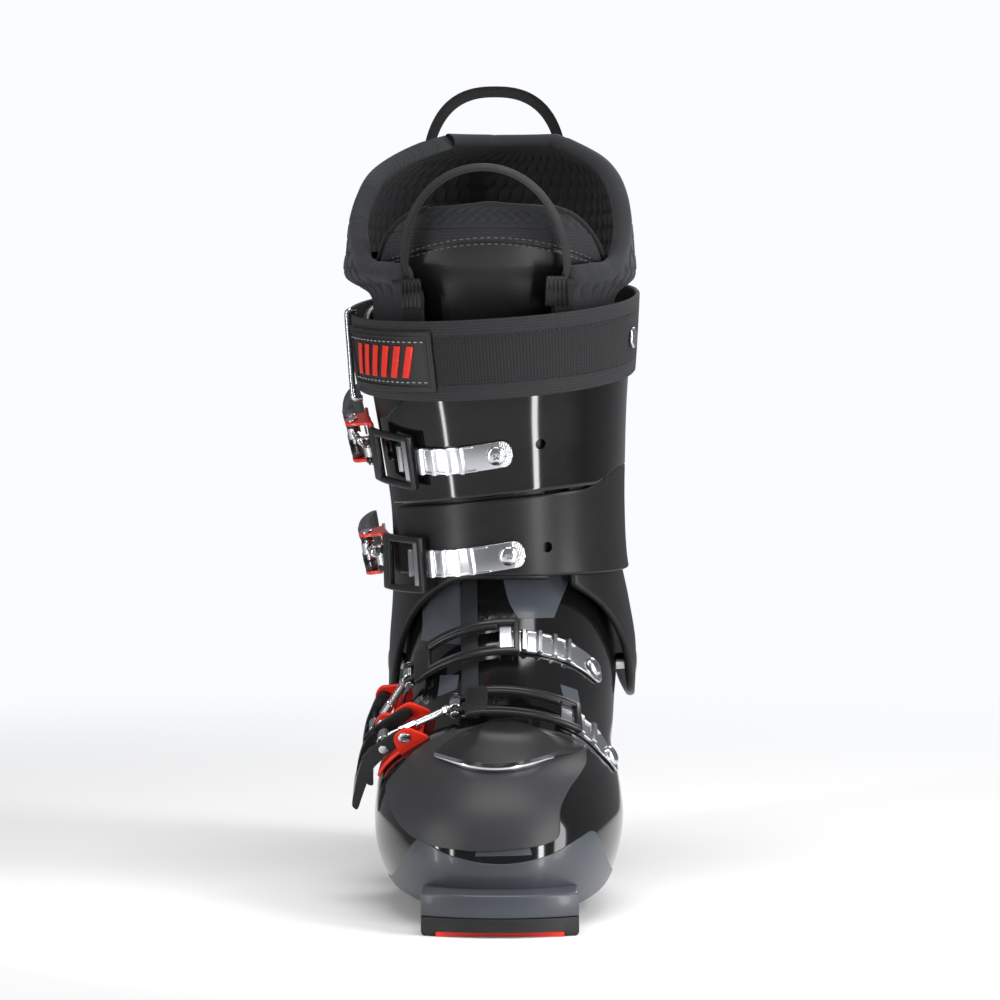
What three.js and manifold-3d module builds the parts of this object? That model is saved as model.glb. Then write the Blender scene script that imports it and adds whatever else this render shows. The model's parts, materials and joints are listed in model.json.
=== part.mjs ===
// A right alpine ski boot: a hollow lower shell on two sole plates, a cuff that flexes on two ankle
// pivots, four buckles, a power strap, and a removable liner with its tongue, footbed and pull loops.
// Millimetres. +X is the inner (medial) side, the toe points along -Y and +Z is up. The origin is the
// middle of the heel's bearing face. Forms are given in sole coordinates: x across, s back from the
// front of the toe lug, z above the floor.
import * as THREE from "three";
import { mergeVertices } from "three/addons/utils/BufferGeometryUtils.js";
import Module from "manifold-3d";

const wasm = await Module();
wasm.setup();

// ---------------------------------------------------------------- driving dimensions
const soleLength = 306; // toe lug to heel lug
const soleWidth = 69; // width of both lugs
const forefootWidth = 115; // outside of the shell at the ball of the foot
const bootHeight = 365; // floor to the top of the liner's collar
const toeLedge = 19; // floor to the top of the toe lug, which a binding holds
const heelLedge = 30; // floor to the top of the heel lug
const toePlate = 8.4; // thickness of the screwed toe sole
const heelPlate = 12; // thickness of the screwed heel sole
const treadDepth = 2.2; // walking treads set in the sole plates
const shellWall = 4.5;
const cuffWall = 4;
const flapWall = 3;
const linerFootWall = 5;
const linerCuffWall = 9;
const tongueWall = 6.5;
const boardThickness = 5;
const footbedThickness = 3;
const strapWidth = 38;
const strapThickness = 2.6;
const ladderWidth = 12.6;
const ladderPlate = 1.3;
const toothHeight = 2;
const toothPitch = 7;
const pivotRadius = 4; // ankle pivot shank
const gap = 0.3; // between faces that seat on each other
const slack = 0.8; // between the soft liner and the shells
const running = 0.25; // radial clearance of a turning pin

// ---------------------------------------------------------------- the base size that the forms are drawn at
const base = { length: 306, width: 115, height: 365, ankle: 85, heelCentre: 273 };
const long = soleLength / base.length;
const wide = forefootWidth / base.width;
const tall = (bootHeight - base.ankle) / (base.height - base.ankle);
const worldX = (x) => x * wide;
const worldY = (s) => (s - base.heelCentre) * long;
const worldZ = (z) => (z <= base.ankle ? z : base.ankle + (z - base.ankle) * tall);
const drawnZ = (z) => (z <= base.ankle ? z : base.ankle + (z - base.ankle) / tall);
const world = (x, s, z) => new THREE.Vector3(worldX(x), worldY(s), worldZ(z));

const pivot = { s: 215, z: 103 }; // the ankle axis, along X
const floorToe = 24; // inside floor of the shell under the toes
const floorHeel = 35.5; // and under the heel

// ---------------------------------------------------------------- forms: level sections, front to back and side to side
// Each row is z, front s, back s, outer side x, inner side x.
const shellForm = {
  levels: [
    [4, 36, 292, -36, 40],
    [9, 26, 297, -46, 47],
    [14, 20, 300, -51, 50.5],
    [26, 16, 302, -56, 54.5],
    [40, 18.5, 302, -58, 57],
    [52, 25, 301, -58, 57],
    [63, 37, 300, -57.5, 56.5],
    [71, 51, 298, -56, 56],
    [81, 67, 296, -53.5, 58],
    [91, 85, 294, -51, 58.5],
    [104, 102, 291, -48, 58],
    [119, 118, 288, -45.5, 55.5],
    [141, 138, 285, -43.5, 52],
    [160, 150, 282, -43.5, 50],
    [185, 154, 280, -44, 50],
  ],
  // How much of a section's width is left along the foot: full at the ball, narrow at the arch and heel.
  plan: [
    [0, 1.06],
    [60, 1.08],
    [95, 1.06],
    [160, 0.92],
    [215, 0.83],
    [260, 0.84],
    [306, 0.9],
  ],
  planFadesFrom: 62,
  planFadesTo: 118,
  // How square a level section is at each height: 2 is an ellipse.
  square: [[45, 2.5], [80, 2.12], [130, 2.2], [180, 2.35]],
};
const cuffForm = {
  levels: [
    [80, 120, 301, -55, 66],
    [112, 124, 302, -54.5, 67],
    [135, 129, 299, -53, 63.5],
    [155, 131, 294, -52.5, 59.5],
    [181, 129, 288, -53.5, 58],
    [208, 124, 281, -57.5, 58],
    [232, 118, 275, -61.5, 58.5],
    [260, 111, 268, -66, 60],
    [310, 99, 256, -69, 62],
  ],
  square: [[0, 2.25], [400, 2.25]],
};
const linerForm = {
  levels: [
    [120, 143, 294, -47.2, 58],
    [155, 139.5, 288.3, -47, 53.8],
    [181, 135.5, 282.3, -48, 52.4],
    [208, 129.5, 275.3, -51.8, 52.4],
    [232, 123.5, 269.3, -56, 53],
    [255, 118, 263.8, -59.6, 54.3],
    [272, 112.5, 259, -61.5, 55],
    [283, 108, 256, -63, 56.5],
    [291, 103.5, 254.5, -74.5, 65],
    [305, 99, 252.5, -74, 64.8],
    [318, 97, 251, -72.5, 63.5],
    [330, 97.5, 249.5, -69, 61.5],
    [342, 99, 247, -64, 58],
    [352, 103, 243, -55.5, 52.5],
    [365, 116, 233, -40, 39],
  ],
  square: [[0, 2.25], [400, 2.25]],
};

// A smooth curve through column k of a table whose first column is the place.
function column(table, at, k) {
  const last = table.length - 1;
  if (at <= table[0][0]) return table[0][k];
  if (at >= table[last][0]) return table[last][k];
  let i = 0;
  while (table[i + 1][0] < at) i++;
  const slope = (j) => {
    const a = table[Math.max(0, j - 1)];
    const b = table[Math.min(last, j + 1)];
    return (b[k] - a[k]) / (b[0] - a[0]);
  };
  const step = table[i + 1][0] - table[i][0];
  const t = (at - table[i][0]) / step;
  const rise = t * t * (3 - 2 * t);
  return (
    table[i][k] * (1 - rise) +
    table[i + 1][k] * rise +
    step * t * (1 - t) * ((1 - t) * slope(i) - t * slope(i + 1))
  );
}

function planShare(form, s, z) {
  if (!form.plan) return 1;
  const fade = THREE.MathUtils.smoothstep(z, form.planFadesFrom, form.planFadesTo);
  return column(form.plan, s, 1) * (1 - fade) + fade;
}

// A point of a form's surface: angle 0 is the toe side and turns towards the inner side.
function surfacePoint(form, angle, z) {
  const [front, back, outer, inner] = [1, 2, 3, 4].map((k) => column(form.levels, z, k));
  const power = 2 / column(form.square, z, 1);
  const along = -Math.sign(Math.cos(angle)) * Math.abs(Math.cos(angle)) ** power;
  const across = Math.sign(Math.sin(angle)) * Math.abs(Math.sin(angle)) ** power;
  const s = (front + back) / 2 + (along * (back - front)) / 2;
  const x = (outer + inner) / 2 + (across * planShare(form, s, z) * (inner - outer)) / 2;
  return world(x, s, z);
}

function offsetPoint(form, angle, z, offset) {
  const turn = 0.02;
  const rise = 0.5;
  const around = surfacePoint(form, angle + turn, z).sub(surfacePoint(form, angle - turn, z));
  const up = surfacePoint(form, angle, z + rise).sub(surfacePoint(form, angle, z - rise));
  const normal = around.cross(up).normalize();
  return surfacePoint(form, angle, z).addScaledVector(normal, offset);
}

function isInside(form, point) {
  const z = drawnZ(point.z);
  const s = point.y / long + base.heelCentre;
  const [front, back, outer, inner] = [1, 2, 3, 4].map((k) => column(form.levels, z, k));
  const along = Math.abs((s - (front + back) / 2) / ((back - front) / 2));
  if (along >= 1) return false;
  const square = column(form.square, z, 1);
  const across = (1 - along ** square) ** (1 / square);
  const reach = (across * planShare(form, s, z) * (inner - outer)) / 2;
  return Math.abs(point.x / wide - (outer + inner) / 2) < reach;
}

// ---------------------------------------------------------------- geometry helpers
// A closed solid through rings of points, all rings with as many points.
function loft(rings, closed = false) {
  const around = rings[0].length;
  const positions = rings.flat().flatMap((p) => [p.x, p.y, p.z]);
  const index = [];
  const spans = closed ? rings.length : rings.length - 1;
  for (let i = 0; i < spans; i++) {
    const [low, high] = [i * around, ((i + 1) % rings.length) * around];
    for (let j = 0; j < around; j++) {
      const next = (j + 1) % around;
      index.push(low + j, low + next, high + next, low + j, high + next, high + j);
    }
  }
  if (!closed) {
    for (const [ring, first] of [[0, true], [rings.length - 1, false]]) {
      const centre = rings[ring].reduce((sum, p) => sum.add(p), new THREE.Vector3());
      centre.divideScalar(around);
      const tip = positions.length / 3;
      positions.push(centre.x, centre.y, centre.z);
      for (let j = 0; j < around; j++) {
        const edge = [ring * around + j, ring * around + ((j + 1) % around)];
        index.push(tip, ...(first ? edge.reverse() : edge));
      }
    }
  }
  const geometry = new THREE.BufferGeometry();
  geometry.setAttribute("position", new THREE.Float32BufferAttribute(positions, 3));
  geometry.setIndex(index);
  return geometry;
}

function solid(geometry) {
  const bare = (geometry.index ? geometry.toNonIndexed() : geometry.clone());
  for (const name of ["normal", "uv"]) bare.deleteAttribute(name);
  const merged = mergeVertices(bare, 1e-3);
  const vertProperties = merged.attributes.position.array;
  const triVerts = new Uint32Array(merged.index.array);
  const made = new wasm.Manifold(new wasm.Mesh({ numProp: 3, vertProperties, triVerts }));
  if (made.volume() >= 0) return made;
  for (let i = 0; i < triVerts.length; i += 3) {
    [triVerts[i + 1], triVerts[i + 2]] = [triVerts[i + 2], triVerts[i + 1]];
  }
  return new wasm.Manifold(new wasm.Mesh({ numProp: 3, vertProperties, triVerts }));
}

const joined = (...solids) => solids.reduce((sum, next) => sum.add(next));
const steps = (from, to, count) =>
  Array.from({ length: count + 1 }, (_, i) => from + ((to - from) * i) / count);

// A form's skin, moved out by offset, between its levels at the given z values.
function formSolid(form, offset, zs, around = 32) {
  const angles = Array.from({ length: around }, (_, j) => (j / around) * Math.PI * 2);
  return solid(loft(zs.map((z) => angles.map((angle) => offsetPoint(form, angle, z, offset)))));
}

function polygon(points) {
  return new THREE.Shape(points.map(([a, b]) => new THREE.Vector2(a, b)));
}

// Prisms of an outline drawn in the side view (s, z), the front view (x, z) or the plan (x, s).
function sidePrism(points, fromX, toX) {
  const outline = polygon(points.map(([s, z]) => [worldY(s), worldZ(z)]));
  const geometry = new THREE.ExtrudeGeometry(outline, { depth: toX - fromX, bevelEnabled: false });
  const turn = new THREE.Matrix4().makeBasis(
    new THREE.Vector3(0, 1, 0), new THREE.Vector3(0, 0, 1), new THREE.Vector3(1, 0, 0));
  return solid(geometry.applyMatrix4(turn.setPosition(fromX, 0, 0)));
}

function frontPrism(points, fromS, toS) {
  const outline = polygon(points.map(([x, z]) => [worldX(x), worldZ(z)]));
  const depth = worldY(toS) - worldY(fromS);
  const geometry = new THREE.ExtrudeGeometry(outline, { depth, bevelEnabled: false });
  return solid(geometry.rotateX(Math.PI / 2).translate(0, worldY(toS), 0));
}

function block(x0, x1, s0, s1, z0, z1) {
  const [low, high] = [[x0, worldY(s0), z0], [x1, worldY(s1), z1]];
  const size = high.map((v, i) => v - low[i]);
  const geometry = new THREE.BoxGeometry(...size);
  return solid(geometry.translate(...low.map((v, i) => v + size[i] / 2)));
}

// A cylinder between two points.
function rod(from, to, radius, sides = 12) {
  const axis = to.clone().sub(from);
  const geometry = new THREE.CylinderGeometry(radius, radius, axis.length(), sides);
  const turn = new THREE.Quaternion().setFromUnitVectors(
    new THREE.Vector3(0, 1, 0), axis.clone().normalize());
  const middle = from.clone().add(to).multiplyScalar(0.5);
  return solid(geometry.applyQuaternion(turn).translate(...middle.toArray()));
}

const boot = new THREE.Group();
boot.userData.hinges = [{ name: "cuff_flex", point: [0, worldY(pivot.s), worldZ(pivot.z)], axis: [1, 0, 0] }];
const colours = {
  shell_gloss: [0x111214, 0.16, 0], shell_matte: [0x2c2d2f, 0.5, 0], shell_grey: [0x5a6067, 0.4, 0],
  overlay: [0x3a3b3d, 0.55, 0], sole: [0x1b1b1c, 0.7, 0], red: [0xe8331f, 0.35, 0],
  steel: [0xc9cbce, 0.3, 1], alloy: [0xd8dadc, 0.35, 1], black_part: [0x151617, 0.35, 0],
  foam: [0x3b3c3e, 0.95, 0], webbing: [0x262728, 0.9, 0], patch: [0x1d1e20, 0.6, 0],
  board: [0x4a4c50, 0.8, 0],
};
const material = Object.fromEntries(Object.entries(colours).map(([name, [color, roughness, metalness]]) =>
  [name, new THREE.MeshStandardMaterial({ name, color, roughness, metalness })]));

function add(name, made, finish) {
  const { numProp, vertProperties, triVerts } = made.getMesh();
  const positions = new Float32Array((vertProperties.length / numProp) * 3);
  for (let i = 0; i * 3 < positions.length; i++) {
    positions.set(vertProperties.subarray(i * numProp, i * numProp + 3), i * 3);
  }
  const geometry = new THREE.BufferGeometry();
  geometry.setAttribute("position", new THREE.BufferAttribute(positions, 3));
  geometry.setIndex(new THREE.BufferAttribute(new Uint32Array(triVerts), 1));
  const mesh = new THREE.Mesh(geometry, material[finish]);
  mesh.name = name;
  boot.add(mesh);
}

// ---------------------------------------------------------------- sole plates, treads and lugs
const halfSole = soleWidth / 2;
const noseRadius = 71; // plan radius of the toe lug's front
const tailRadius = 42; // plan radius of the heel lug's back
const toeSoleEnd = 78; // s where the toe sole stops
const heelSoleStart = 236; // s where the heel sole starts

// The plan outline of a lug: straight sides and a round end at s = end, grown by extra all round.
function lugPrism(end, straight, radius, extra, z0, z1) {
  const [half, grow] = [halfSole + extra, end < straight ? -1 : 1];
  const bow = Math.asin(Math.min(1, half / (radius + extra)));
  const tip = worldY(end) + grow * extra;
  const centre = tip - grow * (radius + extra);
  const inner = worldY(straight) - grow * extra;
  const outline = new THREE.Shape();
  outline.moveTo(-half * grow, inner);
  outline.lineTo(half * grow, inner);
  const middle = (grow * Math.PI) / 2;
  outline.absarc(0, centre, radius + extra, middle - bow, middle + bow, false);
  outline.closePath();
  const geometry = new THREE.ExtrudeGeometry(outline, {
    depth: z1 - z0, bevelEnabled: false, curveSegments: 10 });
  return solid(geometry.translate(0, 0, z0));
}
const toeLug = (extra, z0, z1) => lugPrism(0, toeSoleEnd, noseRadius, extra, z0, z1);
const heelLug = (extra, z0, z1) => lugPrism(base.length, heelSoleStart, tailRadius, extra, z0, z1);

const treadMargin = 6.5; // from a tread to its plate's edge
const treadHalf = halfSole - treadMargin;
const toeTread = (extra, z1) =>
  block(-treadHalf - extra, treadHalf + extra, 5, toeSoleEnd - treadMargin, -extra, z1)
    .intersect(toeLug(extra - 3, -1, z1));
const heelTread = (extra, z1) =>
  block(-treadHalf - extra, treadHalf + extra, heelSoleStart + treadMargin - extra, base.length, -extra, z1)
    .intersect(heelLug(extra - 4, -1, z1));

add("toe_sole", toeLug(0, 0, toePlate).subtract(toeTread(gap, treadDepth + gap)), "sole");
add("toe_tread", toeTread(0, treadDepth), "red");
add("heel_sole", heelLug(0, 0, heelPlate).subtract(heelTread(gap, treadDepth + gap)), "sole");
add("heel_tread", heelTread(0, treadDepth), "red");

// ---------------------------------------------------------------- lower shell
const shellLevels = [4, 12, 19, 28, 40, 51, 60, 67, 74, 81, 89, 98, 109, 122, 140, 178];
const cavityLevels = [7, 19, 28, 40, 51, 60, 67, 74, 81, 89, 98, 109, 122, 140, 190];
const throat = { front: [145, 165], back: [292, 121] }; // the shell's top edge in the side view
const throatEdge = (lift) => {
  const [[s0, z0], [s1, z1]] = [throat.front, throat.back];
  const slope = (z1 - z0) / (s1 - s0);
  return [[60, z0 + (60 - s0) * slope + lift], [330, z0 + (330 - s0) * slope + lift]];
};
const aboveThroat = (lift, spread = 120) =>
  sidePrism([...throatEdge(lift), [330, 420], [60, 420]], -spread, spread);

// The floor inside the shell: level under the toes, a ramp at the arch, level under the heel.
const floorLine = (lift) => [[0, floorToe + lift], [165, floorToe + lift],
  [heelSoleStart - 6, floorHeel + lift], [330, floorHeel + lift]];
const belowFloor = (lift) => sidePrism([[0, -40], ...floorLine(lift), [330, -40]].reverse(), -90, 90);

const cavity = (offset, lift, around = 24) =>
  formSolid(shellForm, -shellWall - offset, cavityLevels, around).subtract(belowFloor(lift));

// The shank of an ankle pivot, from well inside the shell wall to beyond the cuff.
const pivotBore = (radius) => rod(world(-90, pivot.s, pivot.z), world(90, pivot.s, pivot.z), radius, 16);

// Above the toe lug the shell rises straight for a little way, so that a binding's wing lies flat.
const ledgeRise = 4;
const ledgeSection = steps(0, 63, 63).map((j) => surfacePoint(shellForm, (j / 64) * 2 * Math.PI, toeLedge));
const ledgeColumn = solid(loft([toeLedge - 1, toeLedge + ledgeRise + 1].map((z) =>
  ledgeSection.map((p) => p.clone().setZ(z)))));
const aboveToeLedge = block(-halfSole - 1, halfSole + 1, -6, toeSoleEnd, toeLedge, toeLedge + ledgeRise)
  .subtract(ledgeColumn);

const shell = joined(
  formSolid(shellForm, 0, shellLevels).subtract(aboveToeLedge),
  toeLug(0, toePlate + gap, toeLedge),
  heelLug(0, heelPlate + gap, heelLedge),
)
  .subtract(toeLug(gap, -10, toePlate + gap))
  .subtract(heelLug(gap, -10, heelPlate + gap))
  .subtract(cavity(0, 0, 32))
  .subtract(aboveThroat(0))
  .subtract(pivotBore(pivotRadius + running));

// ---------------------------------------------------------------- toe overlay, crest and trim
// A skin that lies on a form between two offsets, inside an outline drawn in the front view.
function skinPatch(form, zs, from, to, outline, s0, s1) {
  return formSolid(form, to, zs)
    .subtract(formSolid(form, from, zs))
    .intersect(frontPrism(outline, s0, s1));
}
const overlayOutline = [[-13, 35.5], [0, 35.8], [24, 40], [27, 52], [31, 59], [38, 68], [38.5, 74],
  [29, 79], [12, 83], [-10, 83.5], [-25, 80], [-37, 73], [-50, 57], [-45, 44], [-34, 38]];
const overlayWall = 1.4;
add("toe_overlay",
  skinPatch(shellForm, shellLevels, gap, gap + overlayWall, overlayOutline, -20, 110), "overlay");

const crestLow = gap + overlayWall + gap;
const crestWall = 3.4;
const crestOutline = [[-28, 71.4], [3.6, 70.8], [22, 71.5], [34, 71], [37, 73.5], [29, 79], [12, 84.3],
  [-2, 86], [-13, 82], [-23, 76]];
add("toe_crest", skinPatch(shellForm, shellLevels, crestLow, crestLow + crestWall, crestOutline,
  -20, 110), "overlay");
const trimOutline = [[-27, 69], [3.6, 68.2], [21, 69.2], [21, 71.1], [3.6, 70.4], [-27, 71]];
add("crest_trim", skinPatch(shellForm, shellLevels, crestLow, crestLow + 2.2, trimOutline,
  -20, 110), "steel");

// ---------------------------------------------------------------- boot board, liner foot and footbed
const boardLine = (low, high) => [...floorLine(low), ...floorLine(high).reverse()];
const boardSpan = sidePrism([[38, 0], [296, 0], [296, 120], [38, 120]], -90, 90);
add("boot_board", cavity(slack, 0).intersect(sidePrism(boardLine(gap, boardThickness), -90, 90))
  .intersect(boardSpan), "board");

const linerFloor = boardThickness + gap;
const splitGap = 1.5;
const linerFootSolid = cavity(slack, linerFloor)
  .subtract(cavity(slack + linerFootWall, linerFloor + linerFootWall))
  .subtract(aboveThroat(splitGap));
add("liner_foot", linerFootSolid, "foam");

const bedFloor = linerFloor + linerFootWall + gap;
add("footbed", cavity(slack + linerFootWall + slack, bedFloor)
  .intersect(sidePrism(boardLine(bedFloor, bedFloor + footbedThickness), -90, 90))
  .intersect(sidePrism([[44, 0], [288, 0], [288, 120], [44, 120]], -90, 90)), "board");

// ---------------------------------------------------------------- cuff and its two overlap flaps
const cuffLevels = [80, 100, 120, 140, 162, 184, 206, 228, 250, 276, 308];
const cuffLowerEdge = [[60, 149], [134, 149], [146, 142], [160, 131], [172, 117], [186, 96], [196, 90],
  [220, 87], [244, 91], [262, 103], [278, 114], [330, 117]];
const cuffRim = [[330, 289], [262, 287], [232, 281], [200, 274], [160, 265], [120, 261], [60, 260]];
const belowCuff = sidePrism([[60, 20], ...cuffLowerEdge, [330, 20]].reverse(), -110, 110);
const aboveCuff = sidePrism([[330, 400], [60, 400], ...[...cuffRim].reverse()].reverse(), -110, 110);
const slitWidth = 5; // the cuff is open down its front, under the flaps
const frontSlit = block(worldX(22), worldX(22) + slitWidth, 60, 200, 0, 400);
const spotface = (side) => {
  const at = side < 0 ? column(cuffForm.levels, pivot.z, 3) : column(cuffForm.levels, pivot.z, 4);
  return worldX(at) - side * 2.2;
};
const pivotHeadRadius = 7;
const headPocket = (side) => rod(
  new THREE.Vector3(spotface(side), worldY(pivot.s), worldZ(pivot.z)),
  new THREE.Vector3(side * 110, worldY(pivot.s), worldZ(pivot.z)), pivotHeadRadius + 1, 16);
const cuffCavity = formSolid(cuffForm, -cuffWall, [70, ...cuffLevels, 320]);
const cuffSolid = formSolid(cuffForm, 0, cuffLevels)
  .subtract(cuffCavity)
  .subtract(belowCuff)
  .subtract(aboveCuff)
  .subtract(frontSlit)
  .subtract(pivotBore(pivotRadius + running))
  .subtract(headPocket(-1))
  .subtract(headPocket(1));

const slotWidth = 3; // between the two flaps
const slotPath = [[-49, 182], [38, 191.5]]; // its middle, in the front view
const tipPath = [[44, 193.4], [55, 200.6], [90, 200.6]]; // where the lower flap's tip meets the upper flap
const shifted = (path, lift) => path.map(([x, z]) => [x, z + lift]);
const upperFlapOutline = [...shifted(slotPath, slotWidth / 2), ...shifted(tipPath, 0.5),
  [90, 258], [-32, 258], [-34, 240], [-44, 232], [-51.5, 224]];
const lowerFlapOutline = [[-49, 149.5], [-38, 150.5], [90, 150.5],
  ...shifted(tipPath, -0.5).reverse(), ...shifted(slotPath, -slotWidth / 2).reverse()];
const flapBack = 236; // s where the upper flap runs into the cuff's back
const lowerFlapBack = 206;

// ---------------------------------------------------------------- ankle pivots
function anklePivot(side) {
  const at = (x) => new THREE.Vector3(x, worldY(pivot.s), worldZ(pivot.z));
  const face = spotface(side);
  const reach = cuffWall + shellWall + 3; // the shank ends inside the shell wall
  return joined(
    rod(at(face - side * reach), at(face + side * (gap + 1)), pivotRadius, 16),
    rod(at(face + side * gap), at(face + side * (gap + 2.4)), pivotHeadRadius, 20),
  );
}
add("pivot_outer", anklePivot(-1), "steel");
add("pivot_inner", anklePivot(1), "steel");

// ---------------------------------------------------------------- girths: paths round the boot that buckles follow
// A plane through the boot. Places on it are an arc length from the front or top, positive towards
// the inner side, and a height above the form.
class Girth {
  constructor(form, centre, tilt, roll, lift) {
    this.form = form;
    this.centre = centre;
    this.across = new THREE.Vector3(Math.cos(roll), 0, Math.sin(roll));
    this.out = new THREE.Vector3(0, -Math.cos(tilt), -Math.sin(tilt));
    this.up = this.out.clone().cross(this.across).normalize();
    this.out = this.across.clone().cross(this.up).normalize();
    this.lift = lift;
    this.table = [];
    const turns = 180;
    let length = 0;
    for (let i = 0; i <= turns; i++) {
      const angle = -Math.PI + (i / turns) * 2 * Math.PI;
      const point = this.lifted(angle, 0);
      if (i) length += point.distanceTo(this.table[i - 1].point);
      this.table.push({ angle, point, length });
    }
    const zero = this.table[turns / 2].length;
    for (const row of this.table) row.length -= zero;
    this.first = this.table[0].length;
    this.last = this.table[turns].length;
  }
  direction(angle) {
    return this.out.clone().multiplyScalar(Math.cos(angle))
      .addScaledVector(this.across, Math.sin(angle));
  }
  skin(angle, along) {
    const start = this.centre.clone().addScaledVector(this.up, along);
    const ray = this.direction(angle);
    let [low, high] = [0, 200];
    for (let i = 0; i < 26; i++) {
      const middle = (low + high) / 2;
      if (isInside(this.form, start.clone().addScaledVector(ray, middle))) low = middle;
      else high = middle;
    }
    return start.addScaledVector(ray, low);
  }
  lifted(angle, height, along = 0) {
    const step = 0.06;
    const tangent = this.skin(angle + step, along).sub(this.skin(angle - step, along)).normalize();
    const normal = tangent.clone().cross(this.up).normalize();
    return this.skin(angle, along).addScaledVector(normal, this.lift + height);
  }
  angleAt(length) {
    const i = Math.max(1, this.table.findIndex((row) => row.length >= length));
    const [a, b] = [this.table[i - 1], this.table[i]];
    return a.angle + ((length - a.length) / (b.length - a.length)) * (b.angle - a.angle);
  }
  // A point at arc length, height over the skin and distance up the boot.
  at(length, height, along = 0) {
    return this.lifted(this.angleAt(length), height, along);
  }
  // A frame on the skin: u towards the inner side along the girth, n outwards, w down the boot.
  frame(length) {
    const origin = this.at(length, 0);
    const u = this.at(length + 5, 0).sub(this.at(length - 5, 0)).normalize();
    const n = u.clone().cross(this.up).normalize();
    const w = u.clone().cross(n);
    return { origin, u, n, w };
  }
}
// A bar that follows a girth. Each station is its arc length, low and high heights and its two edges.
function girthBar(girth, stations, closed = false) {
  return solid(loft(stations.map(([length, low, high, from, to]) => [
    girth.at(length, low, from), girth.at(length, high, from),
    girth.at(length, high, to), girth.at(length, low, to)]), closed));
}
const inFrame = (f, u, n, w = 0) =>
  f.origin.clone().addScaledVector(f.u, u).addScaledVector(f.n, n).addScaledVector(f.w, w);
function framePrism(f, points, w0, w1) {
  const geometry = new THREE.ExtrudeGeometry(polygon(points), {
    depth: w1 - w0, bevelEnabled: false });
  const turn = new THREE.Matrix4().makeBasis(f.u, f.n, f.w).setPosition(inFrame(f, 0, 0, w0));
  return solid(geometry.applyMatrix4(turn));
}
const framePin = (f, u, n, w0, w1, radius, sides = 10) =>
  rod(inFrame(f, u, n, w0), inFrame(f, u, n, w1), radius, sides);

// ---------------------------------------------------------------- buckles
// Places in a buckle's frame (u, n), whose origin is on the skin under the lever's pivot.
const cuffMech = { pivot: [0, 8.6], yoke: [-13, 8.2], ear: 9, bailReach: 21, bailHeight: 6 };
const footMech = { pivot: [0, 7.6], yoke: [-13, 7.2], ear: 8, bailReach: 23, bailHeight: 6.4 };
const earInside = 8.6; // half the space between the base's ears
const earWall = 1.5;
const cheekWall = 1.8;
const pinRadius = 1.7;
const leverWidth = 2 * (earInside - gap);
const barrelRadius = 2.5; // of the nut on the adjuster's thread

function buckleBase(girth, f, mech, plate) {
  const half = earInside + earWall;
  const [u, n] = mech.pivot;
  const floor = girthBar(girth, steps(plate[0], plate[1], 4).map((length) => [length, 0.4, 2.2, -half, half]));
  const earOutline = [[-mech.ear, 0], [mech.ear, 0], [5.5, n + 1], [3.2, n + 3.2], [-3.2, n + 3.2],
    [-5.5, n + 1]];
  const ears = [-1, 1].map((side) => framePrism(f, earOutline,
    Math.min(side * earInside, side * half), Math.max(side * earInside, side * half)));
  const studs = [-1, 1].map((side) =>
    framePin(f, u, n, side * (earInside - cheekWall - gap), side * (half + 0.9), pinRadius));
  return joined(floor, ...ears, ...studs);
}

// The lever: two cheeks that carry the pins, joined behind the yoke by the handle.
function buckleLever(f, mech, handle, window) {
  const [pivotU, pivotN] = mech.pivot;
  const [yokeU, yokeN] = mech.yoke;
  const half = leverWidth / 2;
  const cheekOutline = [[pivotU + 2.9, pivotN - 2.2], [pivotU + 2.9, pivotN + 2], [pivotU, pivotN + 3.2],
    [yokeU - 7, yokeN + 3.6], [yokeU - 12, yokeN + 2.6], [yokeU - 12, yokeN - 1], [yokeU, yokeN - 3.4]];
  const cheeks = [-1, 1].map((side) => framePrism(f, cheekOutline,
    Math.min(side * half, side * (half - cheekWall)), Math.max(side * half, side * (half - cheekWall))));
  const made = joined(...cheeks, framePrism(f, handle, -half, half))
    .subtract(framePin(f, pivotU, pivotN, -20, 20, pinRadius + running))
    .subtract(framePin(f, yokeU, yokeN, -20, 20, pinRadius + running));
  return window ? made.subtract(framePrism(f, window, -half + 4, half - 4)) : made;
}

// The adjuster: an eye on the yoke pin, a threaded rod with its barrel, and an eye for the bail.
function buckleAdjuster(f, mech, bailPin) {
  const eye = 3.4;
  const width = 3;
  const yoke = inFrame(f, ...mech.yoke);
  const end = inFrame(f, ...bailPin);
  const way = end.clone().sub(yoke).normalize();
  return joined(
    framePin(f, ...mech.yoke, -width, width, eye),
    rod(yoke, end, 1.9, 6),
    rod(yoke.clone().addScaledVector(way, 9), yoke.clone().addScaledVector(way, 18), barrelRadius, 8),
    framePin(f, ...bailPin, -width + 0.4, width - 0.4, eye - 0.4),
  )
    .subtract(framePin(f, ...mech.yoke, -20, 20, pinRadius + running))
    .subtract(framePin(f, ...bailPin, -20, 20, pinRadius + running));
}

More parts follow.
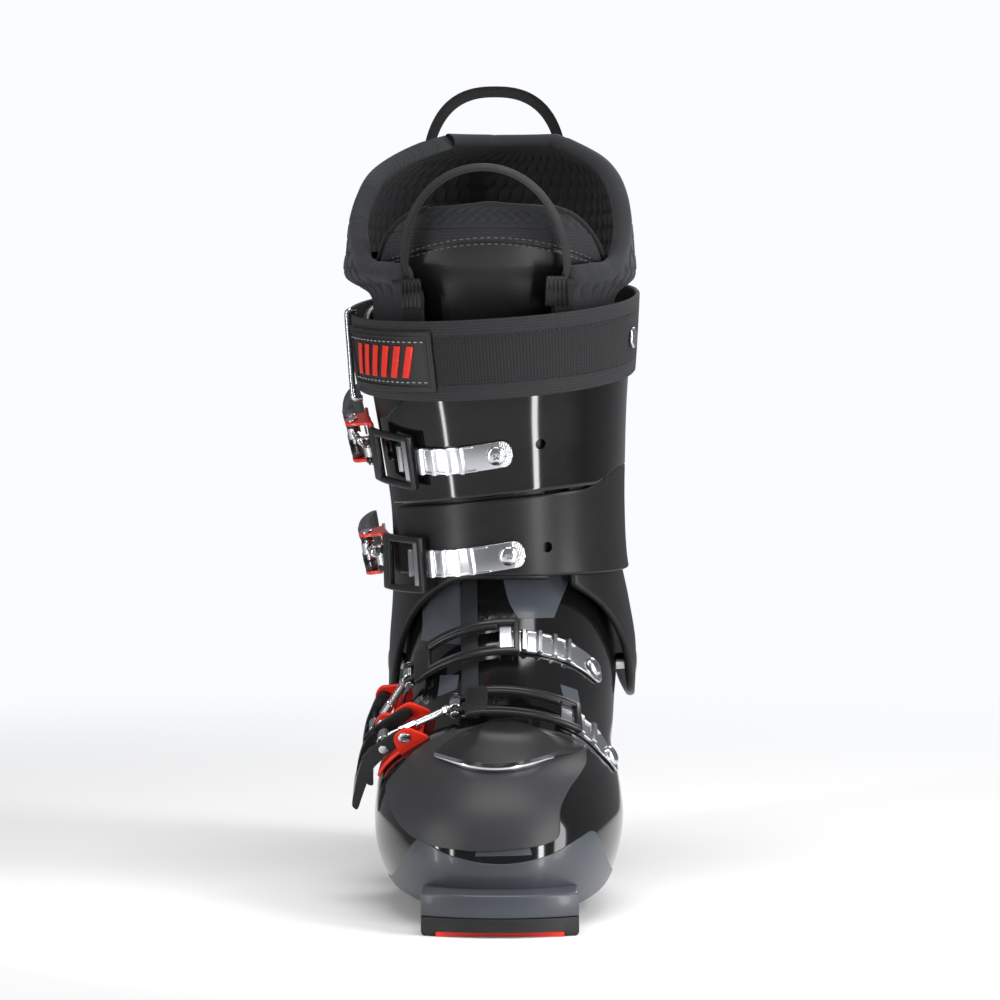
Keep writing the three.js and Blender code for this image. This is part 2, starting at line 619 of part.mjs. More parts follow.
// The bail: a frame that runs from the adjuster round the boot to the crossbar in the ladder.
function buckleBail(girth, f, bailPin, spec) {
  const { pinAt, crossAt, halfWidth, armWidth, rootLength, hook, mech } = spec;
  const [thick, low] = [3, mech.bailHeight - 1.6];
  const end = crossAt + 1.4;
  const heightAt = (length) => {
    const share = (length - pinAt) / (crossAt - pinAt);
    return low + (hook + 0.2 - low) * THREE.MathUtils.smoothstep(share, 0.15, 0.8);
  };
  const run = (from, to, w0, w1) => girthBar(girth, steps(from, to, Math.max(1, Math.round((to - from) / 9)))
    .map((length) => [length, heightAt(length), heightAt(length) + thick, w0, w1]));
  const arms = [-1, 1].map((side) => run(pinAt + rootLength - 2, end,
    Math.min(side * halfWidth, side * (halfWidth - armWidth)),
    Math.max(side * halfWidth, side * (halfWidth - armWidth))));
  const root = run(pinAt + 4.6, pinAt + rootLength, -halfWidth, halfWidth);
  const crossbar = girthBar(girth, [crossAt - 1.2, end].map((length) =>
    [length, hook, hook + thick + 0.2, -halfWidth, halfWidth]));
  const lugWall = 2.6;
  const lugInside = 3 + gap;
  const [u, n] = bailPin;
  const lugs = [-1, 1].map((side) => joined(
    framePin(f, u, n, side * lugInside, side * (lugInside + lugWall), 3.2),
    girthBar(girth, steps(pinAt, pinAt + 6, 2).map((length) => [length, low, low + thick,
      Math.min(side * lugInside, side * (lugInside + lugWall)),
      Math.max(side * lugInside, side * (lugInside + lugWall))]))));
  return joined(root, crossbar, ...arms, ...lugs)
    .subtract(framePin(f, u, n, -20, 20, pinRadius + running));
}

// The ladder: a plate with teeth across it that the crossbar drops between.
function buckleLadder(girth, from, to, plain, firstTooth) {
  const half = ladderWidth / 2;
  const teeth = Math.floor((plain - 1 - firstTooth) / toothPitch);
  const high = ladderPlate + toothHeight;
  const stations = [[from, ladderPlate]];
  for (let i = 0; i < teeth; i++) {
    const start = firstTooth + i * toothPitch;
    stations.push([start, ladderPlate], [start + 0.7, high], [start + 2.5, high],
      [start + 3.2, ladderPlate]);
  }
  const plainFrom = firstTooth + teeth * toothPitch;
  for (const length of steps(plainFrom, to, 4)) stations.push([length, ladderPlate]);
  return girthBar(girth, stations.map(([length, top]) => [length, gap, gap + top, -half, half]));
}

// Adds a buckle's eight pieces and returns the hole that its ladder's screw needs below.
function addBuckle(name, girth, backing, spec) {
  const { mech, screwAt } = spec;
  const pivotAt = spec.crossAt - spec.reach;
  const pinAt = pivotAt + mech.bailReach;
  const f = girth.frame(pivotAt);
  const pinPoint = girth.at(pinAt, mech.bailHeight).sub(f.origin);
  const bailPin = [pinPoint.dot(f.u), pinPoint.dot(f.n)];
  const plate = spec.plate.map((u) => pivotAt + u);
  const toothStart = spec.crossAt - 5 - toothPitch * spec.teethBehind;
  const screwHole = rod(girth.at(screwAt, -5), girth.at(screwAt, 12), 2.6, 12);
  const half = leverWidth / 2;
  const relief = rod(inFrame(f, ...mech.yoke), inFrame(f, ...bailPin), barrelRadius + gap, 8);
  add(`${name}_base`, buckleBase(girth, f, mech, plate).subtract(backing).subtract(relief), "red");
  add(`${name}_lever`, buckleLever(f, mech, spec.handle, spec.window), "black_part");
  add(`${name}_yoke_pin`, framePin(f, ...mech.yoke, -half + 0.6, half - 0.6, pinRadius), "steel");
  add(`${name}_adjuster`, buckleAdjuster(f, mech, bailPin), "steel");
  add(`${name}_bail`, buckleBail(girth, f, bailPin, { ...spec, pinAt }), "black_part");
  add(`${name}_bail_pin`, framePin(f, ...bailPin, -7, 7, pinRadius), "steel");
  add(`${name}_ladder`, buckleLadder(girth, toothStart - 1, spec.ladderEnd, spec.toothEnd, toothStart)
    .subtract(backing).subtract(screwHole), "alloy");
  add(`${name}_screw`, joined(
    rod(girth.at(screwAt, -2.4), girth.at(screwAt, ladderPlate + 5 * gap), 2.2),
    rod(girth.at(screwAt, ladderPlate + 4 * gap), girth.at(screwAt, ladderPlate + 2.8), 4.6, 16),
  ), "steel");
  boot.userData.hinges.push(
    { name: `${name}_lever`, point: inFrame(f, ...mech.pivot).toArray(), axis: f.w.clone().negate().toArray() },
    { name: `${name}_adjuster`, point: inFrame(f, ...mech.yoke).toArray(), axis: f.w.clone().negate().toArray() },
    { name: `${name}_bail`, point: inFrame(f, ...bailPin).toArray(), axis: f.w.toArray() });
  return screwHole;
}

const degrees = THREE.MathUtils.degToRad;
const hookHeight = gap + ladderPlate + toothHeight - 0.6; // the crossbar reaches this far down
const cuffLift = gap + flapWall;
const strapStyle = { mech: cuffMech, halfWidth: ladderWidth / 2 + 6.7, armWidth: 3, rootLength: 12, hook: hookHeight,
  reach: 56, plate: [-16, 12], teethBehind: 1,
  handle: [[-20, 5], [-20, 11], [-40, 9.5], [-56, 5.5], [-64, 1.5], [-64, -1], [-55, 1.5]] };
const linkStyle = { mech: footMech, halfWidth: ladderWidth / 2 + 3.9, armWidth: 3.2, rootLength: 14, hook: hookHeight,
  reach: 76, plate: [-24, 5], teethBehind: 0,
  window: [[-43, -20], [-33, -20], [-33, 20], [-43, 20]] };

const upperGirth = new Girth(cuffForm, world(5, 201, 233), degrees(17), degrees(11.5), cuffLift);
const lowerGirth = new Girth(cuffForm, world(5, 209, 172), degrees(8.4), degrees(9.7), cuffLift);
const instepGirth = new Girth(shellForm, world(0, 153, 77), degrees(-50), degrees(2), 0);
const toeGirth = new Girth(shellForm, world(0, 113, 47), degrees(-57), degrees(-3), 0);

const cuffBacking = formSolid(cuffForm, cuffLift + gap, cuffLevels);
const shellBacking = formSolid(shellForm, gap, shellLevels);
const upperHole = addBuckle("upper_buckle", upperGirth, cuffBacking, {
  ...strapStyle, crossAt: -53, toothEnd: -20, ladderEnd: -5, screwAt: -12 });
const lowerHole = addBuckle("lower_buckle", lowerGirth, cuffBacking, {
  ...strapStyle, crossAt: -45, toothEnd: -10, ladderEnd: 4, screwAt: -3 });
const instepHole = addBuckle("instep_buckle", instepGirth, shellBacking, {
  ...linkStyle, crossAt: 9, toothEnd: 40, ladderEnd: 56, screwAt: 49,
  handle: [[-20, 3.5], [-20, 9.4], [-30, 8.4], [-40, 4.5], [-44, 1.5], [-44, -1], [-37, 1]] });
const toeHole = addBuckle("toe_buckle", toeGirth, shellBacking, {
  ...linkStyle, crossAt: 32, toothEnd: 50, ladderEnd: 64, screwAt: 57.5,
  handle: [[-19, 3], [-19, 9.6], [-27, 7], [-38, -2], [-46, -9.5], [-46, -12.5], [-36, -6.5]] });

add("lower_shell", shell.subtract(instepHole).subtract(toeHole), "shell_gloss");
add("cuff", cuffSolid, "shell_matte");
const flap = (outline, back) =>
  skinPatch(cuffForm, cuffLevels, gap, gap + flapWall, outline, 60, back);
// A second hole in each flap, to move the ladder to for a wider calf.
const spareRadius = 2.5;
const spareHole = (girth, at) => rod(girth.at(at, -5), girth.at(at, 3), spareRadius);
add("upper_flap", flap(upperFlapOutline, flapBack).subtract(upperHole)
  .subtract(spareHole(upperGirth, 9.5)), "shell_gloss");
add("lower_flap", flap(lowerFlapOutline, lowerFlapBack).subtract(lowerHole)
  .subtract(spareHole(lowerGirth, 16)), "shell_matte");

// ---------------------------------------------------------------- liner, tongue and loops
const linerLevels = [118, 140, 162, 184, 206, 228, 250, 270, 283, 291, 305, 322, 338, 352, 365];
const innerLevels = [105, ...linerLevels.slice(0, -2), 372, 392];
const splitLine = [[60, 209], [145, 179], [292, 122.8], [340, 104]]; // clears the foot part at full flex
const belowSplit = sidePrism([[60, 20], ...splitLine, [340, 20]].reverse(), -110, 110);
const collarRim = [[340, 375], [236, 367], [205, 352], [172, 330], [148, 306], [128, 290], [60, 284]];
const aboveCollar = sidePrism([[340, 420], [60, 420], ...[...collarRim].reverse()].reverse(), -110, 110);
const tongueGap = [[-30, 196], [22, 196], [32, 240], [34, 400], [-46, 400], [-44, 240]];
add("liner_cuff", formSolid(linerForm, 0, linerLevels, 24)
  .subtract(formSolid(linerForm, -linerCuffWall, innerLevels, 24))
  .subtract(belowSplit)
  .subtract(aboveCollar)
  .subtract(frontPrism(tongueGap, 60, 150)), "foam");

const tongueOffset = linerCuffWall + slack;
const tongueOutline = [[-34, 190], [30, 190], [46, 225], [54, 268], [52, 300], [44, 316], [30, 323],
  [-40, 323], [-54, 312], [-62, 290], [-60, 262], [-50, 225]];
add("tongue", formSolid(linerForm, -tongueOffset, linerLevels, 24)
  .subtract(formSolid(linerForm, -tongueOffset - tongueWall, innerLevels, 24))
  .intersect(frontPrism(tongueOutline, 60, 166)), "foam");

// A pull loop of webbing: a half ellipse of flat strap with both feet on the liner.
function pullLoop(centre, halfSpan, height, lean, width, thickness, round = 1) {
  const turns = 12;
  const rings = [];
  for (let i = 0; i <= turns; i++) {
    const angle = Math.PI * (i / turns);
    const across = Math.sign(Math.cos(angle)) * Math.abs(Math.cos(angle)) ** round;
    const up = Math.abs(Math.sin(angle)) ** round;
    const point = (grow) => new THREE.Vector3(
      centre.x - across * (halfSpan + grow),
      centre.y - up * height * lean,
      centre.z + up * (height + grow));
    const [inside, outside] = [point(0), point(thickness)];
    const side = new THREE.Vector3(0, width / 2, 0);
    rings.push([inside.clone().sub(side), outside.clone().sub(side), outside.clone().add(side),
      inside.clone().add(side)]);
  }
  return solid(loft(rings));
}
const loopWidth = 12;
const tongueLoopWidth = 9;
const loopThickness = 1.6;
add("rear_loop", pullLoop(world(-2.5, 244.9, 340), worldX(34.3), 46, 0, loopWidth, loopThickness,
  0.82), "webbing");
add("tongue_loop", pullLoop(world(-8, 111.3, 285), worldX(42.4), 55, 0.22, tongueLoopWidth, loopThickness), "webbing");

// Moulded eyelet wings at the collar's front corners.
const wing = (outline) => formSolid(linerForm, 3, linerLevels, 24)
  .subtract(formSolid(linerForm, gap, linerLevels, 24))
  .intersect(frontPrism(outline, 60, 150));
add("collar_wing_outer", wing([[-46, 275], [-35, 275], [-38, 286], [-46, 290]]), "black_part");
add("collar_wing_inner", wing([[20, 277], [32, 277], [32, 290], [25, 287]]), "black_part");

// ---------------------------------------------------------------- power strap, its patch, ring and stud
const strapGirth = new Girth(cuffForm, world(-2, 190, 261.8), degrees(7.1), degrees(3.9), cuffLift + slack);
const strapHalf = strapWidth / 2;
const strapTurns = 56;
const strapRun = strapGirth.last - strapGirth.first;
const strap = girthBar(strapGirth, Array.from({ length: strapTurns }, (_, i) =>
  [strapGirth.first + (strapRun * (i + 0.01)) / strapTurns, 0, strapThickness, -strapHalf, strapHalf]), true);
add("power_strap", strap, "webbing");
const patchHalf = 14.5;
add("strap_patch", girthBar(strapGirth, steps(-88, -29, 10).map((length) =>
  [length, strapThickness + gap, strapThickness + gap + 2.4, -patchHalf, patchHalf])), "patch");
function strapRing(at) {
  const wire = 1.5;
  const reach = strapHalf + 2 * gap + wire;
  const high = strapThickness + 3 * gap + wire;
  const f = strapGirth.frame(at);
  const corner = (n, w) => inFrame(f, 0, n, w);
  const low = 0.6 - wire;
  const bar = (a, b) => rod(corner(...a), corner(...b), wire, 8);
  return [bar([high, -reach], [high, reach]), bar([low + wire, -reach], [high, -reach]),
    bar([low + wire, reach], [high, reach])].reduce((a, b) => a.add(b));
}
add("strap_ring", strapRing(-93), "steel");
const studFrame = strapGirth.frame(84);
add("strap_stud", rod(inFrame(studFrame, 0, strapThickness + 2 * gap, 0),
  inFrame(studFrame, 0, strapThickness + 2.4, 0), 5, 16), "steel");

// ---------------------------------------------------------------- flex screws at the back of the cuff
const spineScrew = (z) => rod(offsetPoint(cuffForm, Math.PI, z, gap + 0.2),
  offsetPoint(cuffForm, Math.PI, z, gap + 2.4), 5, 16);
add("spine_screw_low", spineScrew(132), "steel");
add("spine_screw_high", spineScrew(156), "steel");

export default boot;
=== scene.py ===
import json
import math

import bmesh
import bpy
import numpy as np
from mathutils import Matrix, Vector

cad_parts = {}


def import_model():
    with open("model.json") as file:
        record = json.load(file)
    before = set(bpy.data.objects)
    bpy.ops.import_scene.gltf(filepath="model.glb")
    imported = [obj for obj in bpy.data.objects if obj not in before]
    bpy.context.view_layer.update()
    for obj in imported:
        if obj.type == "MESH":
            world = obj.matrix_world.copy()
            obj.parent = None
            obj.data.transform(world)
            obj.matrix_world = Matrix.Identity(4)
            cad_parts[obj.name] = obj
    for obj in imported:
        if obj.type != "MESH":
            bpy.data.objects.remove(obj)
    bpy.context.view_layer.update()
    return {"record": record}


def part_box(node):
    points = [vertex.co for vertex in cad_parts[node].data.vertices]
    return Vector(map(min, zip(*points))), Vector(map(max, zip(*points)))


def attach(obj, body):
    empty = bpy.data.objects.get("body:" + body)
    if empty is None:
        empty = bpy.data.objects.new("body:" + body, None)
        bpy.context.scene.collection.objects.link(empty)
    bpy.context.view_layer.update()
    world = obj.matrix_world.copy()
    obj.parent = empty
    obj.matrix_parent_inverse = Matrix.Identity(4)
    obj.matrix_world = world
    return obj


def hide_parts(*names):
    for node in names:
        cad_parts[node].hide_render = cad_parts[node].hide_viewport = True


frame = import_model()
hinges = {j["name"]: j for j in frame["record"]["behaviour"]["joints"]}


# ------------------------------------------------------------------ lower shell
# The moulded clog of the boot: glossy polyurethane, about 4.5 mm thick, with the lugs that a
# binding holds. Level sections are z, front, back, outer side, inner side, in mm at a 306 mm sole.
shell_wall = 4.5


def place(node):
    """The low and high corner of a node's box, in mm."""
    low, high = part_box(node)
    return np.array(low) * 1000, np.array(high) * 1000


shell_low, shell_high = place("lower_shell")
long = (shell_high[1] - shell_low[1]) / 306
heel_centre = -shell_low[1] / long
wide = (shell_high[0] - shell_low[0]) / 114.9
liner_top = place("liner_cuff")[1][2]
tall = (liner_top - 85) / (365 - 85)


def curve(table, at, k=1):
    """A smooth curve through column k of a table whose first column is the place."""
    table = np.asarray(table, float)
    x, y = table[:, 0], table[:, k]
    at = np.clip(at, x[0], x[-1])
    i = np.clip(np.searchsorted(x, at, side="right") - 1, 0, len(x) - 2)
    slope = np.gradient(y, x)
    slope[1:-1] = (y[2:] - y[:-2]) / (x[2:] - x[:-2])
    step = x[i + 1] - x[i]
    t = (at - x[i]) / step
    rise = t * t * (3 - 2 * t)
    bend = (1 - t) * slope[i] - t * slope[i + 1]
    return y[i] * (1 - rise) + y[i + 1] * rise + step * t * (1 - t) * bend


def up(z):
    """Heights over the ankle follow the CAD's collar height."""
    return np.where(z <= 85, z, 85 + (z - 85) * tall)


def world(x, s, z):
    """From across, length behind the toe, and height to the frame's millimetres."""
    x, s, z = np.broadcast_arrays(x, s, z)
    return np.stack([x * wide, (s - heel_centre) * long, up(z)], axis=-1)


def halved(test, low, high, rounds):
    """Narrows low and high to the place where test stops being true."""
    for _ in range(rounds):
        middle = (low + high) / 2
        before = test(middle)
        low, high = np.where(before, middle, low), np.where(before, high, middle)
    return low, high


class Form:
    """A surface given by level sections; angle 0 is the toe side and turns towards the inner side."""

    def __init__(self, levels, square, plan=None):
        self.levels, self.square, self.plan = levels, square, plan

    def share(self, s, z):
        if self.plan is None:
            return 1.0
        t = np.clip((z - 62) / (118 - 62), 0, 1)
        fade = t * t * (3 - 2 * t)
        return curve(self.plan, s) * (1 - fade) + fade

    def drawn(self, angle, z):
        front, back, outer, inner = (curve(self.levels, z, k) for k in (1, 2, 3, 4))
        power = 2 / curve(self.square, z)
        c, n = np.cos(angle), np.sin(angle)
        s = (front + back) / 2 - np.sign(c) * np.abs(c) ** power * (back - front) / 2
        across = np.sign(n) * np.abs(n) ** power * self.share(s, z)
        return (outer + inner) / 2 + across * (inner - outer) / 2, s

    def skin(self, angle, z):
        x, s = self.drawn(angle, z)
        return world(x, s, z)

    def lifted(self, angle, z, height):
        """The surface's point, moved off it by height."""
        around = self.skin(angle + 0.02, z) - self.skin(angle - 0.02, z)
        rise = self.skin(angle, z + 0.5) - self.skin(angle, z - 0.5)
        normal = np.cross(around, rise)
        normal /= np.linalg.norm(normal, axis=-1, keepdims=True)
        return self.skin(angle, z) + normal * np.asarray(height)[..., None]

    def trim(self, angle, edge, by):
        """The height on each angle where an edge drawn against s or x crosses it."""
        z = np.full(np.shape(angle), float(np.mean([p[1] for p in edge])))
        for _ in range(40):
            x, s = self.drawn(angle, z)
            z = 0.5 * z + 0.5 * curve(edge, s if by == "s" else x)
        return z

    def front(self, x, z, height=0.0):
        """The point of the toe-side surface seen at x, z, lifted off it by height."""
        quarter = np.full(np.shape(x), math.pi / 2)
        low, high = halved(lambda angle: self.drawn(angle, z)[0] < x, -quarter, quarter, 30)
        return self.lifted((low + high) / 2, z, height)

    def inside(self, p):
        """Whether points of the frame lie within the form."""
        z = np.where(p[..., 2] <= 85, p[..., 2], 85 + (p[..., 2] - 85) / tall)
        s = p[..., 1] / long + heel_centre
        front, back, outer, inner = (curve(self.levels, z, k) for k in (1, 2, 3, 4))
        square = curve(self.square, z)
        along = np.clip(np.abs(s - (front + back) / 2) / ((back - front) / 2), 0, 1)
        across = (1 - along**square) ** (1 / square) * self.share(s, z) * (inner - outer) / 2
        return np.abs(p[..., 0] / wide - (outer + inner) / 2) < across


class Piece:
    """Collects closed bodies, in mm, and makes one object of them."""

    def __init__(self):
        self.verts, self.faces, self.uvs, self.slots = [], [], [], []

    def add(self, verts, faces, uv=None, slot=0):
        start = sum(len(v) for v in self.verts)
        verts = np.asarray(verts, float).reshape(-1, 3)
        self.verts.append(verts)
        for face in faces:
            self.faces.append([start + i for i in face])
            self.uvs.append([uv[i] for i in face] if uv is not None else [(0, 0)] * len(face))
            self.slots.append(slot)

    def grid(self, points, wrap=False, caps=False, slot=0, uv=None):
        """A sheet of points, or a tube closed around its columns, with flat ends."""
        n, m = points.shape[:2]
        faces = []
        for i in range(n - 1):
            for j in range(m if wrap else m - 1):
                k = (j + 1) % m
                faces.append([i * m + j, i * m + k, (i + 1) * m + k, (i + 1) * m + j])
        if caps:
            faces += [list(range(m)), [(n - 1) * m + j for j in range(m)]]
        self.add(points, faces, uv, slot)

    def rimmed(self, outer, inner, wrap=False, bulge=0.5, uv=None, segments=4):
        """A panel between two like sheets with a rounded edge all round, or at both ends of a ring."""
        n, m = outer.shape[:2]
        if wrap:
            loops = [[(i, j) for j in range(m)] for i in (0, n - 1)]
        else:
            loops = [[(0, j) for j in range(m)] + [(i, m - 1) for i in range(1, n)]
                     + [(n - 1, j) for j in range(m - 2, -1, -1)] + [(i, 0) for i in range(n - 2, 0, -1)]]
        verts = [outer.reshape(-1, 3), inner.reshape(-1, 3)]
        flat = list(map(tuple, uv.reshape(-1, 2))) if uv is not None else None
        uvs = flat + flat if flat else None
        count = 2 * n * m
        faces = []
        for i in range(n - 1):
            for j in range(m if wrap else m - 1):
                k = (j + 1) % m
                quad = [i * m + j, i * m + k, (i + 1) * m + k, (i + 1) * m + j]
                faces += [quad, [n * m + q for q in quad[::-1]]]
        for loop in loops:
            rim = []
            for i, j in loop:
                inward = (min(max(i, 1), n - 2), j if wrap else min(max(j, 1), m - 2))
                away = outer[i, j] - outer[inward]
                away /= max(np.linalg.norm(away), 1e-9)
                middle, half = (outer[i, j] + inner[i, j]) / 2, (outer[i, j] - inner[i, j]) / 2
                turns = [math.pi * k / segments for k in range(1, segments)]
                rim.append([middle + math.cos(t) * half + math.sin(t) * bulge * away for t in turns])
                if uvs:
                    uvs += [flat[i * m + j]] * (segments - 1)
            verts.append(np.array(rim).reshape(-1, 3))

            def ring(q, k, loop=loop, count=count):
                i, j = loop[q % len(loop)]
                if k in (0, segments):
                    return i * m + j + (n * m if k else 0)
                return count + (q % len(loop)) * (segments - 1) + k - 1

            for q in range(len(loop)):
                for k in range(segments):
                    faces.append([ring(q, k), ring(q, k + 1), ring(q + 1, k + 1), ring(q + 1, k)])
            count += len(loop) * (segments - 1)
        self.add(np.concatenate(verts), faces, uvs)

    def make(self, name, body, materials, replaces=(), slot=None, bevel=0.0, sharp=40):
        mesh = bpy.data.meshes.new(name)
        mesh.from_pydata((np.concatenate(self.verts) * 0.001).tolist(), [], self.faces)
        layer = mesh.uv_layers.new(name="UVMap")
        layer.data.foreach_set("uv", [c for face in self.uvs for uv in face for c in uv])
        mesh.polygons.foreach_set("material_index", self.slots)
        whole = bmesh.new()
        whole.from_mesh(mesh)
        bmesh.ops.recalc_face_normals(whole, faces=whole.faces)
        whole.to_mesh(mesh)
        whole.free()
        mesh.shade_smooth()
        mesh.set_sharp_from_angle(angle=math.radians(sharp))
        for material in materials if isinstance(materials, list) else [materials]:
            mesh.materials.append(material)
        made = bpy.data.objects.new(name, mesh)
        bpy.context.collection.objects.link(made)
        if bevel:
            modifier = made.modifiers.new("edges", "BEVEL")
            modifier.width, modifier.segments = bevel * 0.001, 2
            modifier.angle_limit = math.radians(35)
            modifier.harden_normals = True
        if body:
            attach(made, body)
        if replaces:
            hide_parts(*([replaces] if isinstance(replaces, str) else replaces))
        return made


def principled(name, color, rough, metal=0.0, coat=0.0, sheen=0.0):
    material = bpy.data.materials.new(name)
    material.use_nodes = True
    shader = material.node_tree.nodes["Principled BSDF"]
    shader.inputs["Base Color"].default_value = (*color, 1)
    shader.inputs["Roughness"].default_value = rough
    shader.inputs["Metallic"].default_value = metal
    shader.inputs["Coat Weight"].default_value = coat
    shader.inputs["Coat Roughness"].default_value = 0.08
    shader.inputs["Sheen Weight"].default_value = sheen
    shader.inputs["Specular IOR Level"].default_value = 0.5 if metal else 0.3
    return material, material.node_tree, shader


def group(name, inputs, outputs):
    tree = bpy.data.node_groups.new(name, "ShaderNodeTree")
    for label, kind, value in inputs:
        socket = tree.interface.new_socket(label, in_out="INPUT", socket_type=kind)
        if value is not None:
            socket.default_value = value
    for label, kind in outputs:
        tree.interface.new_socket(label, in_out="OUTPUT", socket_type=kind)
    return tree, tree.nodes.new("NodeGroupInput"), tree.nodes.new("NodeGroupOutput")


def math_node(tree, operation, a, b=None, c=None, clamp=False):
    node = tree.nodes.new("ShaderNodeMath")
    node.operation, node.use_clamp = operation, clamp
    for socket, value in zip(node.inputs, (a, b, c)):
        if value is None:
            continue
        if isinstance(value, (int, float)):
            socket.default_value = value
        else:
            tree.links.new(value, socket)
    return node.outputs[0]


# Surface of a moulded or handled part: fine grain, and smears that vary its shine.
surface, given, result = group(
    "Moulded Surface",
    [("Grain Size", "NodeSocketFloat", 0.0004), ("Grain", "NodeSocketFloat", 0.1),
     ("Roughness", "NodeSocketFloat", 0.3), ("Smears", "NodeSocketFloat", 0.05),
     ("Color", "NodeSocketColor", (0.1, 0.1, 0.1, 1)), ("Dust", "NodeSocketFloat", 0.02)],
    [("Color", "NodeSocketColor"), ("Roughness", "NodeSocketFloat"), ("Normal", "NodeSocketVector")])
spot = surface.nodes.new("ShaderNodeTexCoord")
grain = surface.nodes.new("ShaderNodeTexNoise")
grain.inputs["Detail"].default_value = 2.0
surface.links.new(spot.outputs["Object"], grain.inputs["Vector"])
surface.links.new(math_node(surface, "DIVIDE", 1.0, given.outputs["Grain Size"]), grain.inputs["Scale"])
bump = surface.nodes.new("ShaderNodeBump")
bump.inputs["Distance"].default_value = 0.0002
surface.links.new(given.outputs["Grain"], bump.inputs["Strength"])
surface.links.new(grain.outputs["Fac"], bump.inputs["Height"])
smear = surface.nodes.new("ShaderNodeTexNoise")
smear.inputs["Scale"].default_value = 22.0
smear.inputs["Detail"].default_value = 5.0
surface.links.new(spot.outputs["Object"], smear.inputs["Vector"])
centred = math_node(surface, "SUBTRACT", smear.outputs["Fac"], 0.5)
shine = math_node(surface, "MULTIPLY_ADD", centred, given.outputs["Smears"], given.outputs["Roughness"], True)
dusty = surface.nodes.new("ShaderNodeMix")
dusty.data_type = "RGBA"
dusty.inputs["B"].default_value = (0.42, 0.41, 0.39, 1)
surface.links.new(given.outputs["Color"], dusty.inputs["A"])
fine = surface.nodes.new("ShaderNodeTexNoise")
fine.inputs["Scale"].default_value = 160.0
fine.inputs["Detail"].default_value = 6.0
surface.links.new(spot.outputs["Object"], fine.inputs["Vector"])
flecks = math_node(surface, "POWER", fine.outputs["Fac"], 3.0)
surface.links.new(math_node(surface, "MULTIPLY", flecks, given.outputs["Dust"]), dusty.inputs["Factor"])
surface.links.new(dusty.outputs["Result"], result.inputs["Color"])
surface.links.new(shine, result.inputs["Roughness"])
surface.links.new(bump.outputs["Normal"], result.inputs["Normal"])


def moulded(name, color, rough, metal=0.0, coat=0.0, grain_size=0.0005, grain=0.08, smears=0.06,
            dust=0.02):
    """A moulded or metal material with the group's grain and smears."""
    material, tree, shader = principled(name, color, rough, metal, coat)
    look = tree.nodes.new("ShaderNodeGroup")
    look.node_tree = bpy.data.node_groups["Moulded Surface"]
    values = {"Grain Size": grain_size, "Grain": grain, "Roughness": rough, "Smears": smears, "Dust": dust}
    for label, value in values.items():
        look.inputs[label].default_value = value
    look.inputs["Color"].default_value = (*color, 1)
    tree.links.new(look.outputs["Color"], shader.inputs["Base Color"])
    tree.links.new(look.outputs["Roughness"], shader.inputs["Roughness"])
    tree.links.new(look.outputs["Normal"], shader.inputs["Normal"])
    return material


shell_form = Form(
    [[4, 36, 292, -36, 40], [9, 26, 297, -46, 47], [14, 20, 300, -51, 50.5], [26, 16, 302, -56, 54.5],
     [40, 18.5, 302, -58, 57], [52, 25, 301, -58, 57], [63, 37, 300, -57.5, 56.5], [71, 51, 298, -56, 56],
     [81, 67, 296, -53.5, 58], [91, 85, 294, -51, 58.5], [104, 102, 291, -48, 58],
     [119, 118, 288, -45.5, 55.5], [141, 138, 285, -43.5, 52], [160, 150, 282, -43.5, 50],
     [185, 154, 280, -44, 50]],
    [[45, 2.5], [80, 2.12], [130, 2.2], [180, 2.35]],
    [[0, 1.06], [60, 1.08], [95, 1.06], [160, 0.92], [215, 0.83], [260, 0.84], [306, 0.9]])
around = np.linspace(0, 2 * math.pi, 240, endpoint=False)
cavity_floor = 27
throat = [[100, 179], [145, 165], [292, 121], [310, 116]]
rows = np.linspace(0, 1, 110)[:, None]
top = shell_form.trim(around, throat, "s")
outer_z = 4 + rows**1.15 * (top - 4)
inner_z = cavity_floor + rows * (top - cavity_floor)
outer = shell_form.lifted(around + 0 * outer_z, outer_z, 0 * outer_z)
inner = shell_form.lifted(around + 0 * inner_z, inner_z, 0 * inner_z - shell_wall)
shell = Piece()
lip = np.stack([(outer[-1] + inner[-1]) / 2 + math.cos(t) * (outer[-1] - inner[-1]) / 2
                + [0, 0, 1.1 * math.sin(t)] for t in np.linspace(0, math.pi, 7)[1:-1]])
shell.grid(np.concatenate([outer, lip, inner[::-1]]), wrap=True, caps=True)


def lug_rings(straight, end, radius, half, levels):
    """Rings of a lug's plan outline, straight at one end and round at the other, one per (z, inset)."""
    grow = 1 if end > straight else -1
    rings = []
    for z, inset in levels:
        h, r = half - inset, radius - inset
        bow = math.asin(h / r)
        turns = np.linspace(-bow, bow, 33)
        arc = [(-grow * r * math.sin(t), end + grow * (r * math.cos(t) - radius), z) for t in turns]
        side = [(-grow * h * (1 - 2 * k / 8), straight + grow * inset * 0.5, z) for k in range(9)]
        rings.append(arc + side)
    return np.array(rings)


toe_low, toe_high = place("toe_sole")
heel_low, heel_high = place("heel_sole")
half_sole = (toe_high[0] - toe_low[0]) / 2
rounded = [(0, 0.5), (0.4, 0.1), (0.9, 0), (-1.6, 0), (-0.9, 0.25), (-0.3, 0.8), (0, 1.7)]
toe_radius, heel_radius = 71, 42
toe_lug_top, heel_lug_top = 19, 30


def lug_levels(bottom, top):
    return [(bottom + z if k < 3 else top + z, inset) for k, (z, inset) in enumerate(rounded)]


